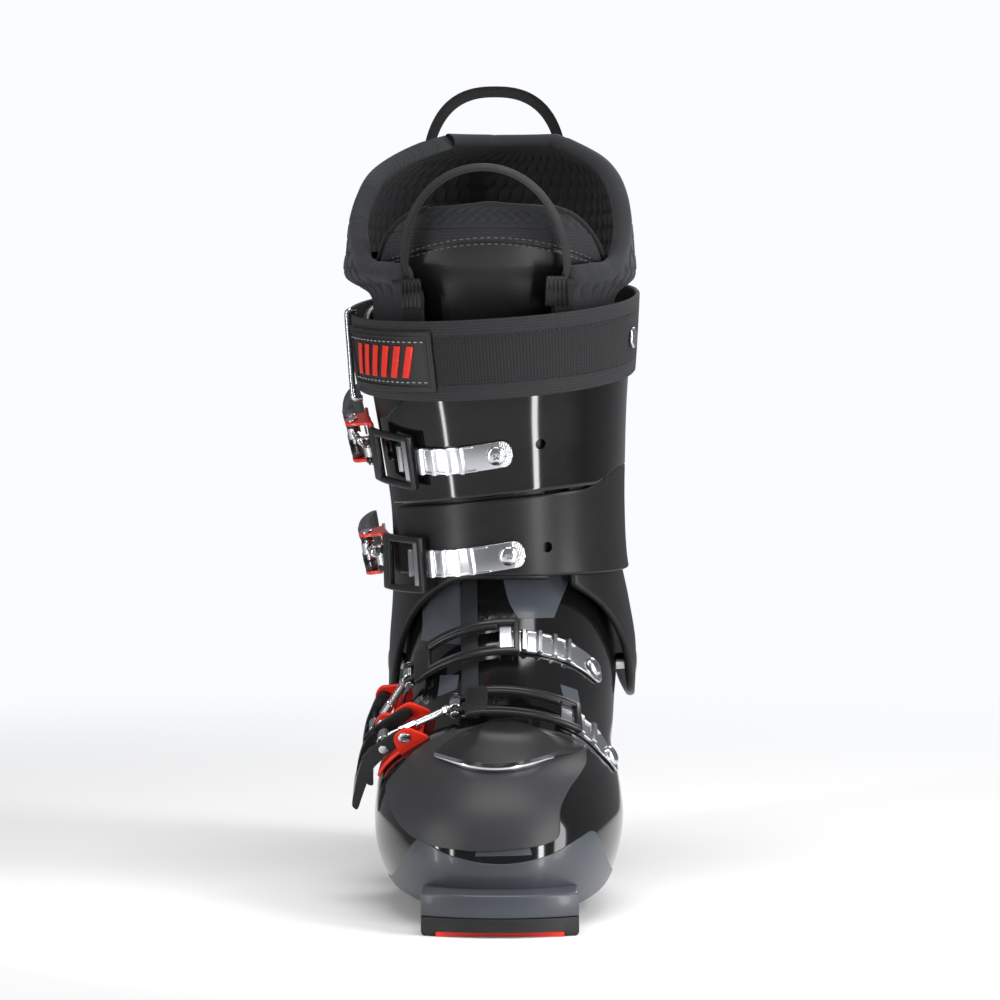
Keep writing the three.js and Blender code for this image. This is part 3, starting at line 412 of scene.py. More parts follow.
grey = moulded("grey moulding", (0.05, 0.056, 0.066), 0.36, grain=0.08, coat=0.1)
shell_black = moulded("glossy black shell", (0.0045, 0.0047, 0.005), 0.1, coat=0.35, grain=0.0, smears=0.05,
                      dust=0.01)
toe_lug = lug_levels(toe_high[2] + 0.3, toe_lug_top)
heel_lug = lug_levels(heel_high[2] + 0.3, heel_lug_top)
shell.grid(lug_rings(toe_high[1], toe_low[1], toe_radius, half_sole, toe_lug), wrap=True, caps=True, slot=1)
shell.grid(lug_rings(heel_low[1], heel_high[1], heel_radius, half_sole, heel_lug), wrap=True, caps=True)
shell.make("clog", "lower_shell", [shell_black, grey], "lower_shell", "shell_gloss", sharp=50)


# ------------------------------------------------------------------ toe bumper and light grey bands
# The grey second shot of plastic round the toe, a thin skin whose top edge dips in the middle, and
# the light grey bands laid on the instep. Outlines are drawn in the front view, x and z in mm.
def spline(points, count):
    """A smooth line through points, spread evenly along it."""
    points = np.asarray(points, float)
    length = np.concatenate([[0], np.cumsum(np.linalg.norm(np.diff(points, axis=0), axis=1))])
    at = np.linspace(0, length[-1], count)
    table = np.column_stack([length, points])
    return np.stack([curve(table, at, k + 1) for k in range(points.shape[1])], axis=-1)


def front_panel(piece, form, left, right, low, high, rows=40, columns=60, bulge=0.3, lift=None, sag=0.0):
    """A panel on the toe side between two edges in the front view, from the bottom up."""
    left, right = spline(left, rows), spline(right, rows)
    t = np.linspace(0, 1, columns)[None, :, None]
    flat = left[:, None] * (1 - t) + right[:, None] * t
    fall = np.linspace(1, 0, rows)[:, None] ** 1.5 * (1 - (2 * t[..., 0] - 1) ** 2)
    flat[..., 1] -= sag * fall
    u = np.broadcast_to(t[..., 0], flat.shape[:2])
    v = np.broadcast_to(np.linspace(0, 1, rows)[:, None], flat.shape[:2])
    height = high if lift is None else high + lift(u, v)
    outside = form.front(flat[..., 0], flat[..., 1], np.zeros(flat.shape[:2]) + height)
    inside = form.front(flat[..., 0], flat[..., 1], np.zeros(flat.shape[:2]) + low)
    piece.rimmed(outside, inside, bulge=bulge, uv=flat)


bumper = Piece()
bumper_angle = np.linspace(-1.2, 1.15, 170)
bumper_edge = [[-58, 12], [-51, 15], [-46, 23], [-41, 33], [-37, 38.2], [-34, 38.4], [-24, 34], [-8, 30.5],
               [6, 30.3], [22, 33.5], [36, 39.5], [41, 41.2], [44, 38], [48, 27], [52, 17], [57, 12]]
bumper_top = shell_form.trim(bumper_angle, bumper_edge, "x")
bumper_z = 6 + np.linspace(0, 1, 36)[:, None] * (bumper_top - 6)
spread = bumper_angle + 0 * bumper_z
bumper.rimmed(shell_form.lifted(spread, bumper_z, 0 * bumper_z + 0.45),
              shell_form.lifted(spread, bumper_z, 0 * bumper_z - 0.6), bulge=0.25)
patch = ([-11, 33.5], [-10, 36.5], [-8, 40]), ([14, 34], [13, 37], [12, 40])
front_panel(bumper, shell_form, *patch, -0.3, 0.3, rows=8, columns=20, bulge=0.1)
bumper.make("toe_bumper", "lower_shell", grey, slot="shell_gloss", sharp=50)

bands = Piece()
for left, right in (
        (([-37.5, 118], [-37, 127], [-39.5, 150]), ([-18.5, 118], [-18.5, 128], [-19, 150])),
        (([-29, 95], [-28.5, 99], [-28, 104]), ([-20, 99], [-19.5, 102], [-19, 105])),
        (([8.5, 130], [4, 138], [1, 150]), ([25.5, 130], [29, 138], [35, 150])),
        (([30, 92], [29, 97], [28, 101]), ([37, 86], [37, 92], [36, 98]))):
    front_panel(bands, shell_form, left, right, -0.2, 0.12, rows=16, columns=16, bulge=0.03)
band_grey = moulded("light grey band", (0.06, 0.068, 0.08), 0.3, coat=0.2, grain=0.0)
bands.make("instep_bands", "lower_shell", band_grey, slot="shell_gloss", sharp=50)

# The shell overlaps itself down the instep: one edge lies on the other as a low step.
overlap = Piece()
front_panel(overlap, shell_form, ([-17.5, 88], [-17.5, 104], [-18, 126], [-18, 150]),
            ([-9.5, 88], [-10, 104], [-10.5, 126], [-11, 150]), -0.3, 0.9, rows=60, columns=10, bulge=0.2)
overlap.make("overlap_step", "lower_shell", moulded("overlap", (0.02, 0.021, 0.023), 0.3, coat=0.2),
             slot="shell_gloss")


# ------------------------------------------------------------------ toe overlay
# A fine-grained dark grey skin that covers the top of the toe.
overlay = Piece()
overlay_left = [[-13, 35.5], [-34, 38], [-46, 46], [-50.5, 57], [-44, 66], [-37, 73], [-25, 80], [-10, 84]]
overlay_right = [[0, 35.8], [24, 40], [26, 52], [30, 59], [38, 68], [37, 75], [29, 80], [12, 84]]
front_panel(overlay, shell_form, overlay_left, overlay_right, 0.2, 1.7, rows=70, columns=90, bulge=0.5)
overlay_grey = moulded("overlay", (0.026, 0.0265, 0.028), 0.44, grain_size=0.0003, grain=0.22, smears=0.05)
overlay.make("overlay_skin", "lower_shell", overlay_grey, "toe_overlay", "overlay")


# ------------------------------------------------------------------ toe crest and its bright trim
# A hood that swells off the overlay behind the toe, with a thin polished strip under its front edge.
crest = Piece()
crest_left = [[-27, 71], [-28.5, 72.5], [-24, 76.5], [-14, 82], [-4, 86]]
crest_right = [[21, 71], [37, 73.5], [31, 78], [18, 82.5], [4, 86.4]]


def swell(u, v):
    """The hood's rise: a broad hump with a ridge across it, fading at both ends."""
    ends = np.clip(np.minimum(u, 1 - u) * 5, 0, 1)
    hump = 2.6 * np.sin(np.pi * np.clip(v * 1.05, 0, 1)) ** 0.8
    return ends * (hump + 1.1 * np.exp(-((v - 0.55) / 0.12) ** 2))


front_panel(crest, shell_form, crest_left, crest_right, 1.5, 2.0, rows=50, columns=90, bulge=0.3, lift=swell,
            sag=4.2)
crest_black = moulded("crest", (0.013, 0.0132, 0.014), 0.38, coat=0.05, grain=0.05)
crest.make("crest_hood", "lower_shell", crest_black, "toe_crest", "overlay", sharp=60)
trim = Piece()
run = np.linspace(-1, 1, 90)[None, :]
x = -2.5 + 26 * run + np.zeros((5, 1))
z = 71.2 - 4.6 * (1 - run**2) + np.array([-0.7, -0.35, 0, 0.35, 0.7])[:, None]
lift = 4.6 - 1.6 * np.abs(run) ** 5 + 0 * z
trim.rimmed(shell_form.front(x, z, lift), shell_form.front(x, z, 0 * z + 1.6), bulge=0.4)
polished = moulded("polished trim", (0.6, 0.61, 0.63), 0.16, metal=1.0, grain=0.0, smears=0.04)
trim.make("trim_strip", "lower_shell", polished, "crest_trim", "steel")


# ------------------------------------------------------------------ sole plates and treads
# Screwed-on soles: hard black plates with a red rubbery tread let into each.
def baked(made):
    """Leaves a plain mesh in place of a piece's modifiers."""
    bpy.context.view_layer.update()
    made.data = bpy.data.meshes.new_from_object(made.evaluated_get(bpy.context.evaluated_depsgraph_get()))
    made.modifiers.clear()


def carved(made, cutter):
    """Cuts a body out of a finished piece."""
    tool = cutter.make("cutter", None, [])
    modifier = made.modifiers.new("cut", "BOOLEAN")
    modifier.operation, modifier.solver, modifier.use_self = "DIFFERENCE", "EXACT", True
    modifier.object = tool
    while made.modifiers[0] != modifier:
        made.modifiers.move(len(made.modifiers) - 1, 0)
    baked(made)
    bpy.data.objects.remove(tool)
    made.data.set_sharp_from_angle(angle=math.radians(35))


sole_black = moulded("sole", (0.012, 0.012, 0.013), 0.48, grain=0.2)
red = moulded("red", (0.72, 0.028, 0.012), 0.3, coat=0.15, grain=0.03)
for name, ends, radius in (("toe", (toe_high[1], toe_low[1]), toe_radius),
                           ("heel", (heel_low[1], heel_high[1]), heel_radius)):
    low, high = place(f"{name}_sole")
    tread_low, tread_high = place(f"{name}_tread")
    sole = Piece()
    levels = [(0.2, 0.9), (0.9, 0.3), (1.8, 0), (high[2] - 0.3, 0), (high[2], 0.3)]
    sole.grid(lug_rings(*ends, radius, half_sole, levels), wrap=True, caps=True)
    for k in range(5):
        along = low[1] + (high[1] - low[1]) * (0.16 + 0.17 * k)
        for side in (-1, 1):
            far, near = side * (half_sole - 1.2), side * (half_sole - 5.4)
            corners = [(far, along - 4), (near, along - 4), (near, along + 4), (far, along + 4)]
            sole.grid(np.array([[(x, y, z) for x, y in corners] for z in (0, 1.5)]), wrap=True, caps=True)
    made = sole.make(f"{name}_plate", "lower_shell", sole_black, f"{name}_sole", "sole")
    notch = Piece()
    edge_y, end_y = ((tread_high[1] + 0.3, low[1] - 2) if name == "toe"
                     else (tread_low[1] - 0.3, high[1] + 2))
    corners = [(tread_low[0] - 0.3, edge_y), (tread_high[0] + 0.3, edge_y), (tread_high[0] + 0.3, end_y),
               (tread_low[0] - 0.3, end_y)]
    notch.grid(np.array([[(x, y, z) for x, y in corners] for z in (-1, 2.5)]), wrap=True, caps=True)
    carved(made, notch)
    tread = Piece()
    ribs = 11
    pitch = (tread_high[1] - tread_low[1]) / ribs
    for k in range(ribs):
        y0 = tread_low[1] + k * pitch + 0.5
        block = []
        for z, inset in ((0, 0.4), (0.4, 0), (2.2, 0)):
            (x0, x1), (a, b) = (tread_low[0] + inset, tread_high[0] - inset), (y0 + inset, y0 + pitch - 1 - inset)
            block.append([(x0, a, z), (x1, a, z), (x1, b, z), (x0, b, z)])
        tread.grid(np.array(block), wrap=True, caps=True)
    tread.make(f"{name}_ribs", "lower_shell", red, f"{name}_tread", "red")


# ------------------------------------------------------------------ cuff and its two flaps
# The upper half of the boot: a satin moulding that turns on the ankle pivots and is closed in front
# by two flaps, the upper one glossy, which slide over it when the buckles are drawn.
cuff_form = Form(
    [[80, 120, 301, -55, 66], [112, 124, 302, -54.5, 67], [135, 129, 299, -53, 63.5],
     [155, 131, 294, -52.5, 59.5], [181, 129, 288, -53.5, 58], [208, 124, 281, -57.5, 58],
     [232, 118, 275, -61.5, 58.5], [260, 111, 268, -66, 60], [310, 99, 256, -69, 62]],
    [[0, 2.25], [400, 2.25]])


def wall(form, angles, low_edge, high_edge, rows, heights, by=("s", "s")):
    """Two sheets of a wall between a lower and an upper edge, at two heights over the form."""
    low = form.trim(angles, low_edge, by[0])
    high = form.trim(angles, high_edge, by[1])
    z = low + np.linspace(0, 1, rows)[:, None] * (high - low)
    spread = angles + 0 * z
    uv = np.stack([spread * 55, z], axis=-1)
    return [form.lifted(spread, z, 0 * z + h) for h in heights] + [uv]


cuff_low_edge = [[60, 149], [134, 149], [146, 142], [160, 131], [172, 117], [186, 96], [196, 90],
                 [220, 87], [244, 91], [262, 103], [278, 114], [330, 117]]
cuff_rim = [[60, 260], [120, 261], [160, 265], [200, 274], [232, 281], [262, 287], [330, 289]]
cuff_wall = 4
satin = moulded("satin cuff", (0.0085, 0.0087, 0.0092), 0.38, grain_size=0.0004, grain=0.12, smears=0.07)
cuff = Piece()
round_the_back = np.linspace(0.55, 2 * math.pi + 0.3, 300)
outer, inner, uv = wall(cuff_form, round_the_back, cuff_low_edge, cuff_rim, 110, (0, -cuff_wall))
cuff.rimmed(outer, inner, bulge=1.2, uv=uv)
cuff.make("cuff_moulding", "cuff", satin, "cuff", "shell_matte", sharp=60)

spine = Piece()
spine_angle = np.linspace(math.pi - 0.16, math.pi + 0.16, 20)
outer, inner, _ = wall(cuff_form, spine_angle, [[60, 121], [330, 121]], [[60, 262], [330, 262]], 60,
                       (0.9, -0.3))
spine.rimmed(outer, inner, bulge=0.3)
spine.make("spine_rib", "cuff", satin, slot="shell_matte")


def angle_of(form, value, z, by, low, high):
    """The angle between low and high where the form's drawn x or s takes a value."""
    which = 0 if by == "x" else 1
    return float(halved(lambda angle: form.drawn(angle, float(z))[which] < value, low, high, 40)[0])


gloss = moulded("glossy flap", (0.0035, 0.0036, 0.004), 0.1, coat=0.3, grain=0.0, smears=0.05)
upper_low = [[-49, 183.5], [38, 193], [44, 193.9], [55, 201.1], [90, 201.1]]
upper_high = [[-51.5, 224], [-44, 232], [-34, 240], [-32, 258], [90, 258]]
lower_low = [[-49, 149.5], [-38, 150.5], [90, 150.5]]
lower_high = [[-49, 180.5], [38, 190], [44, 192.9], [55, 200.1], [90, 200.1]]
flap_outside, flap_inside = 3.3, 0.3
flaps = {}
for name, material, edges, back, left, slot in (
        ("upper", gloss, (upper_low, upper_high), 236, -50.5, "shell_gloss"),
        ("lower", satin, (lower_low, lower_high), 206, -48.5, "shell_matte")):
    flap = Piece()
    start = angle_of(cuff_form, left, 200, "x", -math.pi / 2, 0)
    stop = angle_of(cuff_form, back, 200, "s", 0, math.pi)
    outer, inner, uv = wall(cuff_form, np.linspace(start, stop, 220), *edges, 60, (flap_outside, flap_inside),
                            by=("x", "x"))
    flap.rimmed(outer, inner, bulge=0.9, uv=uv)
    flaps[name] = flap.make(f"{name}_flap_moulding", "cuff", material, f"{name}_flap", slot, sharp=60)


# ------------------------------------------------------------------ ankle pivots and spine screws
# Domed rivets through cuff and shell at the ankle, and the two flex screws at the back.
def turned(piece, origin, axis, profile, sides=28, slot=0):
    """A turned body: profile is radius and height along the axis, in mm."""
    axis = np.asarray(axis, float) / np.linalg.norm(axis)
    side = np.cross(axis, [0.3, 0.5, 0.81])
    side /= np.linalg.norm(side)
    other = np.cross(axis, side)
    a = np.linspace(0, 2 * math.pi, sides, endpoint=False)[:, None]
    ring = np.cos(a) * side + np.sin(a) * other
    piece.grid(np.array([np.asarray(origin) + r * ring + h * axis for r, h in profile]), wrap=True, caps=True,
               slot=slot)


def dome(radius, low, high):
    """The profile of a domed head."""
    steps = np.linspace(0, math.pi / 2, 7)[:-1]
    return [(radius - 0.2, low), (radius, low + 0.2)] + [
        (radius * math.cos(t) ** 0.7, low + 0.5 + (high - low - 0.5) * math.sin(t)) for t in steps] + [
        (0.3, high)]


steel = moulded("steel", (0.62, 0.63, 0.65), 0.2, metal=1.0, grain_size=0.0003, grain=0.03, smears=0.12)
for name in ("outer", "inner"):
    low, high = place(f"pivot_{name}")
    side = 1 if name == "inner" else -1
    middle = (low + high) / 2
    rivet = Piece()
    rise = 2.4
    head = np.array([(high if side > 0 else low)[0] - side * rise, middle[1], middle[2]])
    turned(rivet, head, (side, 0, 0), dome(7, 0, rise))
    turned(rivet, head, (side, 0, 0), [(4, -10.5), (4, 0.2)])
    rivet.make(f"ankle_rivet_{name}", "lower_shell", steel, f"pivot_{name}", "steel")


def cross_cutter(origin, axis, side, reach, depth):
    """The recess of a cross-head screw, to cut from its head."""
    cutter = Piece()
    third = np.cross(axis, side)
    for a, b in ((side, third), (third, side)):
        corners = ((1, 1), (-1, 1), (-1, -1), (1, -1))
        ring = [np.asarray(origin) + i * reach * a + j * 0.55 * b for i, j in corners]
        tip = [np.asarray(origin) - depth * axis + i * reach * 0.5 * a + j * 0.4 * b for i, j in corners]
        cutter.grid(np.array([tip, [p + 3 * axis for p in ring]]), wrap=True, caps=True)
    return cutter


for name in ("low", "high"):
    low, high = place(f"spine_screw_{name}")
    middle = (low + high) / 2
    normal = np.array([0.0, 0.97, 0.22])
    screw = Piece()
    turned(screw, middle - normal * 1.1, normal, dome(5, 0, 2.2))
    made = screw.make(f"spine_bolt_{name}", "cuff", steel, f"spine_screw_{name}", "steel")
    carved(made, cross_cutter(middle + normal * 1.1, normal, np.array([1.0, 0, 0]), 2.4, 1.3))


# ------------------------------------------------------------------ buckles
# Four over-centre buckles. A red base is riveted to the outer side; its lever carries a threaded
# adjuster, whose bail drops behind the teeth of an aluminium ladder screwed on over the instep.
class Girth:
    """A plane through the boot: places are an arc length from the front, a height and a way up."""

    def __init__(self, form, centre, tilt, roll, lift):
        tilt, roll = math.radians(tilt), math.radians(roll)
        self.form, self.centre, self.lift = form, world(*centre), lift
        across = np.array([math.cos(roll), 0, math.sin(roll)])
        out = np.array([0, -math.cos(tilt), -math.sin(tilt)])
        self.up = np.cross(out, across)
        self.up /= np.linalg.norm(self.up)
        self.across, self.out = across, np.cross(across, self.up)
        self.angles = np.linspace(-math.pi, math.pi, 241)
        points = self.lifted(self.angles, 0 * self.angles, 0 * self.angles)
        step = np.linalg.norm(np.diff(points, axis=0), axis=1)
        self.lengths = np.concatenate([[0], np.cumsum(step)])
        self.lengths -= self.lengths[120]

    def skin(self, angle, along):
        """Where a ray from the centre leaves the form."""
        start = self.centre + self.up * along[..., None]
        ray = self.out * np.cos(angle)[..., None] + self.across * np.sin(angle)[..., None]
        reach = halved(lambda far: self.form.inside(start + ray * far[..., None]), np.zeros(angle.shape),
                       np.full(angle.shape, 200.0), 26)[0]
        return start + ray * reach[..., None]

    def lifted(self, angle, height, along):
        tangent = self.skin(angle + 0.06, along) - self.skin(angle - 0.06, along)
        normal = np.cross(tangent, self.up)
        normal /= np.linalg.norm(normal, axis=-1, keepdims=True)
        return self.skin(angle, along) + normal * (self.lift + height)[..., None]

    def at(self, length, height, along=0.0):
        places = (np.asarray(v, float) for v in (length, height, along))
        length, height, along = np.broadcast_arrays(*places)
        return self.lifted(np.interp(length, self.lengths, self.angles), height, along)

    def frame(self, length):
        """A point on the girth with the directions along it, out of it and across it."""
        u = self.at(length + 5, 0) - self.at(length - 5, 0)
        u /= np.linalg.norm(u)
        n = np.cross(u, self.up)
        n /= np.linalg.norm(n)
        return self.at(length, 0), u, n, np.cross(u, n)


def in_frame(f, u, n, w=0.0):
    return f[0] + u * f[1] + n * f[2] + w * f[3]


def bar(piece, girth, lengths, low, high, start, stop, r=0.5, slot=0):
    """A bar that follows a girth, with rounded edges and ends."""
    lengths, low, high = np.broadcast_arrays(*(np.asarray(v, float) for v in (lengths, low, high)))
    ends = [(0.0, 1.0), (0.3, 0.3), (1.0, 0.0)]
    stations = [(lengths[0] + r * t, low[0], high[0], r * i) for t, i in ends]
    stations += [(l, a, b, 0.0) for l, a, b in zip(lengths, low, high) if lengths[0] + r < l < lengths[-1] - r]
    stations += [(lengths[-1] - r * t, low[-1], high[-1], r * i) for t, i in ends[::-1]]
    turns = np.linspace(0, math.pi / 2, 4)
    ring_l, ring_h, ring_a = [], [], []
    for length, h0, h1, inset in stations:
        c = min(r, (h1 - h0) / 2.01, (stop - start) / 2.01)
        a0, a1, h0, h1 = start + inset * 0.7, stop - inset * 0.7, h0 + inset * 0.6, h1 - inset * 0.6
        c = min(c, (h1 - h0) / 2.01)
        corners = [(a1 - c, h1 - c, 0), (a0 + c, h1 - c, 1), (a0 + c, h0 + c, 2), (a1 - c, h0 + c, 3)]
        for a, h, quarter in corners:
            for t in turns:
                ring_a.append(a + c * math.cos(t + quarter * math.pi / 2))
                ring_h.append(h + c * math.sin(t + quarter * math.pi / 2))
                ring_l.append(length)
    shape = (len(stations), 16)
    points = girth.at(*(np.array(v).reshape(shape) for v in (ring_l, ring_h, ring_a)))
    piece.grid(points, wrap=True, caps=True, slot=slot)


def prism(piece, f, outline, w0, w1, smooth=0):
    """An outline in a frame's along and out directions, drawn across from w0 to w1."""
    points = np.asarray(outline, float)
    if smooth:
        points = spline(np.vstack([points, points[:1]]), smooth)[:-1]
    piece.grid(np.array([[in_frame(f, u, n, w) for u, n in points] for w in (w0, w1)]), wrap=True, caps=True)


alloy = moulded("aluminium", (0.6, 0.61, 0.63), 0.24, metal=1.0, grain_size=0.0002, grain=0.05, smears=0.12)
black_part = moulded("black buckle part", (0.012, 0.012, 0.013), 0.3, coat=0.1, grain=0.04, smears=0.08)
# Places are along the girth and out of it, from the lever's pivot; reach, root and travel run from the
# pivot to the bail's pin, from the pin to the bail's solid part, and from the pivot to its crossbar.
half_lever = 8.3
half_base = 10.1
ladder_lift, ladder_plate, tooth_rise, half_ladder = 0.3, 1.3, 2, 6.3
crossbar_clearance = -0.6
cuff_mech = dict(pivot=(0, 8.6), yoke=(-13, 8.2), ear=9, reach=21, height=6, arm=3, root=12, half=13,
                 plate=(-16, 12), travel=56)
foot_mech = dict(pivot=(0, 7.6), yoke=(-13, 7.2), ear=8, reach=23, height=6.4, arm=3.2, root=14, half=10.2,
                 plate=(-24, 5), travel=76)
long_handle = [(-18, 4.6), (-18, 11), (-30, 10.6), (-46, 8.2), (-58, 4.6), (-64.5, 0.8), (-64, -1.2), (-56, 1.2),
               (-42, 4.4), (-28, 5)]
instep_handle = [(-18, 3.2), (-18, 9.6), (-27, 9), (-36, 6.6), (-42, 3.4), (-44.4, 0.6), (-43.6, -1.2),
                 (-38, 0.6), (-30, 3), (-24, 3.4)]
toe_handle = [(-17, 3), (-17, 9.6), (-24, 8.2), (-32, 3.2), (-40, -3.6), (-46.4, -9.6), (-46, -12.6),
              (-40, -8.8), (-32, -3.4), (-24, 1.4)]
buckles = (
    ("upper_buckle", Girth(cuff_form, (5, 201, 233), 17, 11.5, 3.3), cuff_mech, -53, -20, -5, -12, long_handle,
     "cuff"),
    ("lower_buckle", Girth(cuff_form, (5, 209, 172), 8.4, 9.7, 3.3), cuff_mech, -45, -10, 4, -3, long_handle,
     "cuff"),
    ("instep_buckle", Girth(shell_form, (0, 153, 77), -50, 2, 0), foot_mech, 9, 40, 56, 49, instep_handle,
     "lower_shell"),
    ("toe_buckle", Girth(shell_form, (0, 113, 47), -57, -3, 0), foot_mech, 32, 50, 64, 57.5, toe_handle,
     "lower_shell"))
for name, girth, mech, cross_at, teeth_end, ladder_end, screw_at, handle, carrier in buckles:
    on_cuff = carrier == "cuff"
    pivot_at = cross_at - mech["travel"]
    f = girth.frame(pivot_at)
    hinge = np.array(hinges[f"{name}_lever_turn"]["pos_m"]) * 1000
    girth.centre = girth.centre + (hinge - in_frame(f, *mech["pivot"]))
    f = (f[0] + hinge - in_frame(f, *mech["pivot"]), *f[1:])
    pin_at = pivot_at + mech["reach"]
    yoke = in_frame(f, *mech["yoke"])
    tail = np.array(hinges[f"{name}_bail_turn"]["pos_m"]) * 1000
    (pu, pn), (yu, yn) = mech["pivot"], mech["yoke"]

    base = Piece()
    bar(base, girth, np.linspace(pivot_at + mech["plate"][0], pivot_at + mech["plate"][1], 16), 0.4, 2.2,
        -half_base, half_base, r=0.7)
    ear = mech["ear"]
    outline = [(-ear, 0.4), (ear, 0.4), (6.2, pn - 1), (4.2, pn + 2.6), (0, pn + 3.6), (-4.2, pn + 2.6),
               (-6.2, pn - 1)]
    for side in (-1, 1):
        edges = sorted((side * (half_base - 1.5), side * half_base))
        prism(base, f, outline, *edges, smooth=48)
        turned(base, in_frame(f, pu, pn, side * (half_base - 0.1)), side * f[3], dome(2.9, 0, 1.0), slot=1)
        turned(base, in_frame(f, mech["plate"][0] + 4, 2.1), f[2], dome(2.4, 0, 0.9), slot=1)
    base.make(f"{name}_cradle", carrier, [red, steel], f"{name}_base", "red", bevel=0.35)

    lever = Piece()
    for side in (-1, 1):
        edges = sorted((side * half_lever, side * (half_lever - 1.8)))
        prism(lever, f, [(pu + 2.6, pn - 2.2), (pu + 2.8, pn + 1.4), (pu, pn + 3.1), (yu + 2, yn + 3.6),
                         (yu - 7, yn + 3), (yu - 12, yn + 1.4), (yu - 11, yn - 2), (yu, yn - 3.3)], *edges,
              smooth=56)
        turned(lever, in_frame(f, yu, yn, side * (half_lever - 0.1)), side * f[3], dome(2.3, 0, 0.8), slot=1)
    prism(lever, f, handle, -half_lever, half_lever, smooth=90)
    made = lever.make(f"{name}_handle", f"{name}_lever", [black_part, steel],
                      (f"{name}_lever", f"{name}_yoke_pin"), "black_part", sharp=45)
    # The slot that lets the threaded rod through when the lever is open.
    window = Piece()
    slot_end, half_slot = -31 if on_cuff else -37.5, half_lever - 3.9
    prism(window, f, [(slot_end, -20), (-16, -20), (-16, 20), (slot_end, 20)], -half_slot, half_slot)
    carved(made, window)
    edge = made.modifiers.new("edges", "BEVEL")
    edge.width, edge.segments, edge.angle_limit, edge.harden_normals = 0.0005, 2, math.radians(40), True
    yoke_pin = Piece()
    end = half_lever - 1.9
    turned(yoke_pin, yoke, f[3], [(1.4, -end), (1.7, 0.3 - end), (1.7, end - 0.3), (1.4, end)])
    yoke_pin.make(f"{name}_yoke_axle", f"{name}_lever", steel, slot="steel")

    adjuster = Piece()
    way = (tail - yoke) / np.linalg.norm(tail - yoke)
    span = float(np.linalg.norm(tail - yoke))
    thread = [(1.3, 2.4)]
    for k in range(int((span - 5.4) / 0.9)):
        thread += [(1.55, 2.7 + 0.9 * k), (1.95, 3.15 + 0.9 * k)]
    thread.append((1.3, span - 2.4))
    turned(adjuster, yoke, way, thread, sides=20)
    barrel = [(2.0, 8.6), (2.5, 9), (2.5, 11.4), (2.2, 11.7), (2.5, 12), (2.5, 17.6), (2.0, 18)]
    lock_nut = [(2.2, span - 6.4), (2.5, span - 6), (2.5, span - 4), (2.2, span - 3.7)]
    turned(adjuster, yoke, way, barrel, sides=8)
    turned(adjuster, yoke, way, lock_nut, sides=6)
    for centre, half, r in ((yoke, 3.0, 3.3), (tail, 2.6, 2.9)):
        turned(adjuster, centre, f[3], [(1.8, -half), (r - 0.3, -half), (r, -half + 0.3), (r, half - 0.3),
                                        (r - 0.3, half), (1.8, half)])
    turned(adjuster, tail, f[3], [(1.3, -7), (1.6, -6.7), (1.6, 6.7), (1.3, 7)])
    for side in (-1, 1):
        turned(adjuster, tail + side * 6.3 * f[3], side * f[3], dome(2.2, 0, 0.8))
    adjuster.make(f"{name}_threaded_rod", f"{name}_adjuster", steel, (f"{name}_adjuster", f"{name}_bail_pin"),
                  "steel", bevel=0.12)

    bail = Piece()
    hook = ladder_lift + ladder_plate + tooth_rise + crossbar_clearance
    low = mech["height"] - 1.6
    end = cross_at + 1.4

    def run(from_at, to_at, w0, w1, r=0.9, thick=3.0, slot=0):
        """A bar of the bail, high over the base and low at the ladder."""
        lengths = np.linspace(from_at, to_at, 30)
        t = np.clip((lengths - pin_at) / (cross_at - pin_at), 0, 1)
        t = np.clip((t - 0.15) / 0.65, 0, 1)
        rise = low + (hook + 0.2 - low) * t * t * (3 - 2 * t)
        bar(bail, girth, lengths, rise, rise + thick, w0, w1, r=r, slot=slot)

    half, arm = mech["half"], mech["arm"]
    for side in (-1, 1):
        run(pin_at + mech["root"] - 4, end, *sorted((side * half, side * (half - arm))))
        run(pin_at - 0.5, pin_at + 6, *sorted((side * 3.4, side * 5.8)), r=0.8)
        if not on_cuff:
            inner_edge = half - arm - 1.7
            run(pin_at + mech["root"] - 2, cross_at - 8, *sorted((side * inner_edge, side * (inner_edge + 2))))
        turned(bail, tail + side * 3.3 * f[3], side * f[3], [(2.6, 0), (2.9, 0.3), (2.9, 2.2), (2.6, 2.5)])
    run(pin_at + 4.6, pin_at + mech["root"], -half, half)
    inner_half = half - arm + 0.4
    run(cross_at - (6 if on_cuff else 7.5), end - 3.2, -inner_half, inner_half, r=0.5, thick=1.2, slot=1)
    bar(bail, girth, [cross_at - 1.2, cross_at, end], hook, hook + 3.2, -half, half, r=0.6)
    bail.make(f"{name}_catch", f"{name}_bail", [black_part, alloy], f"{name}_bail", "black_part", sharp=60)

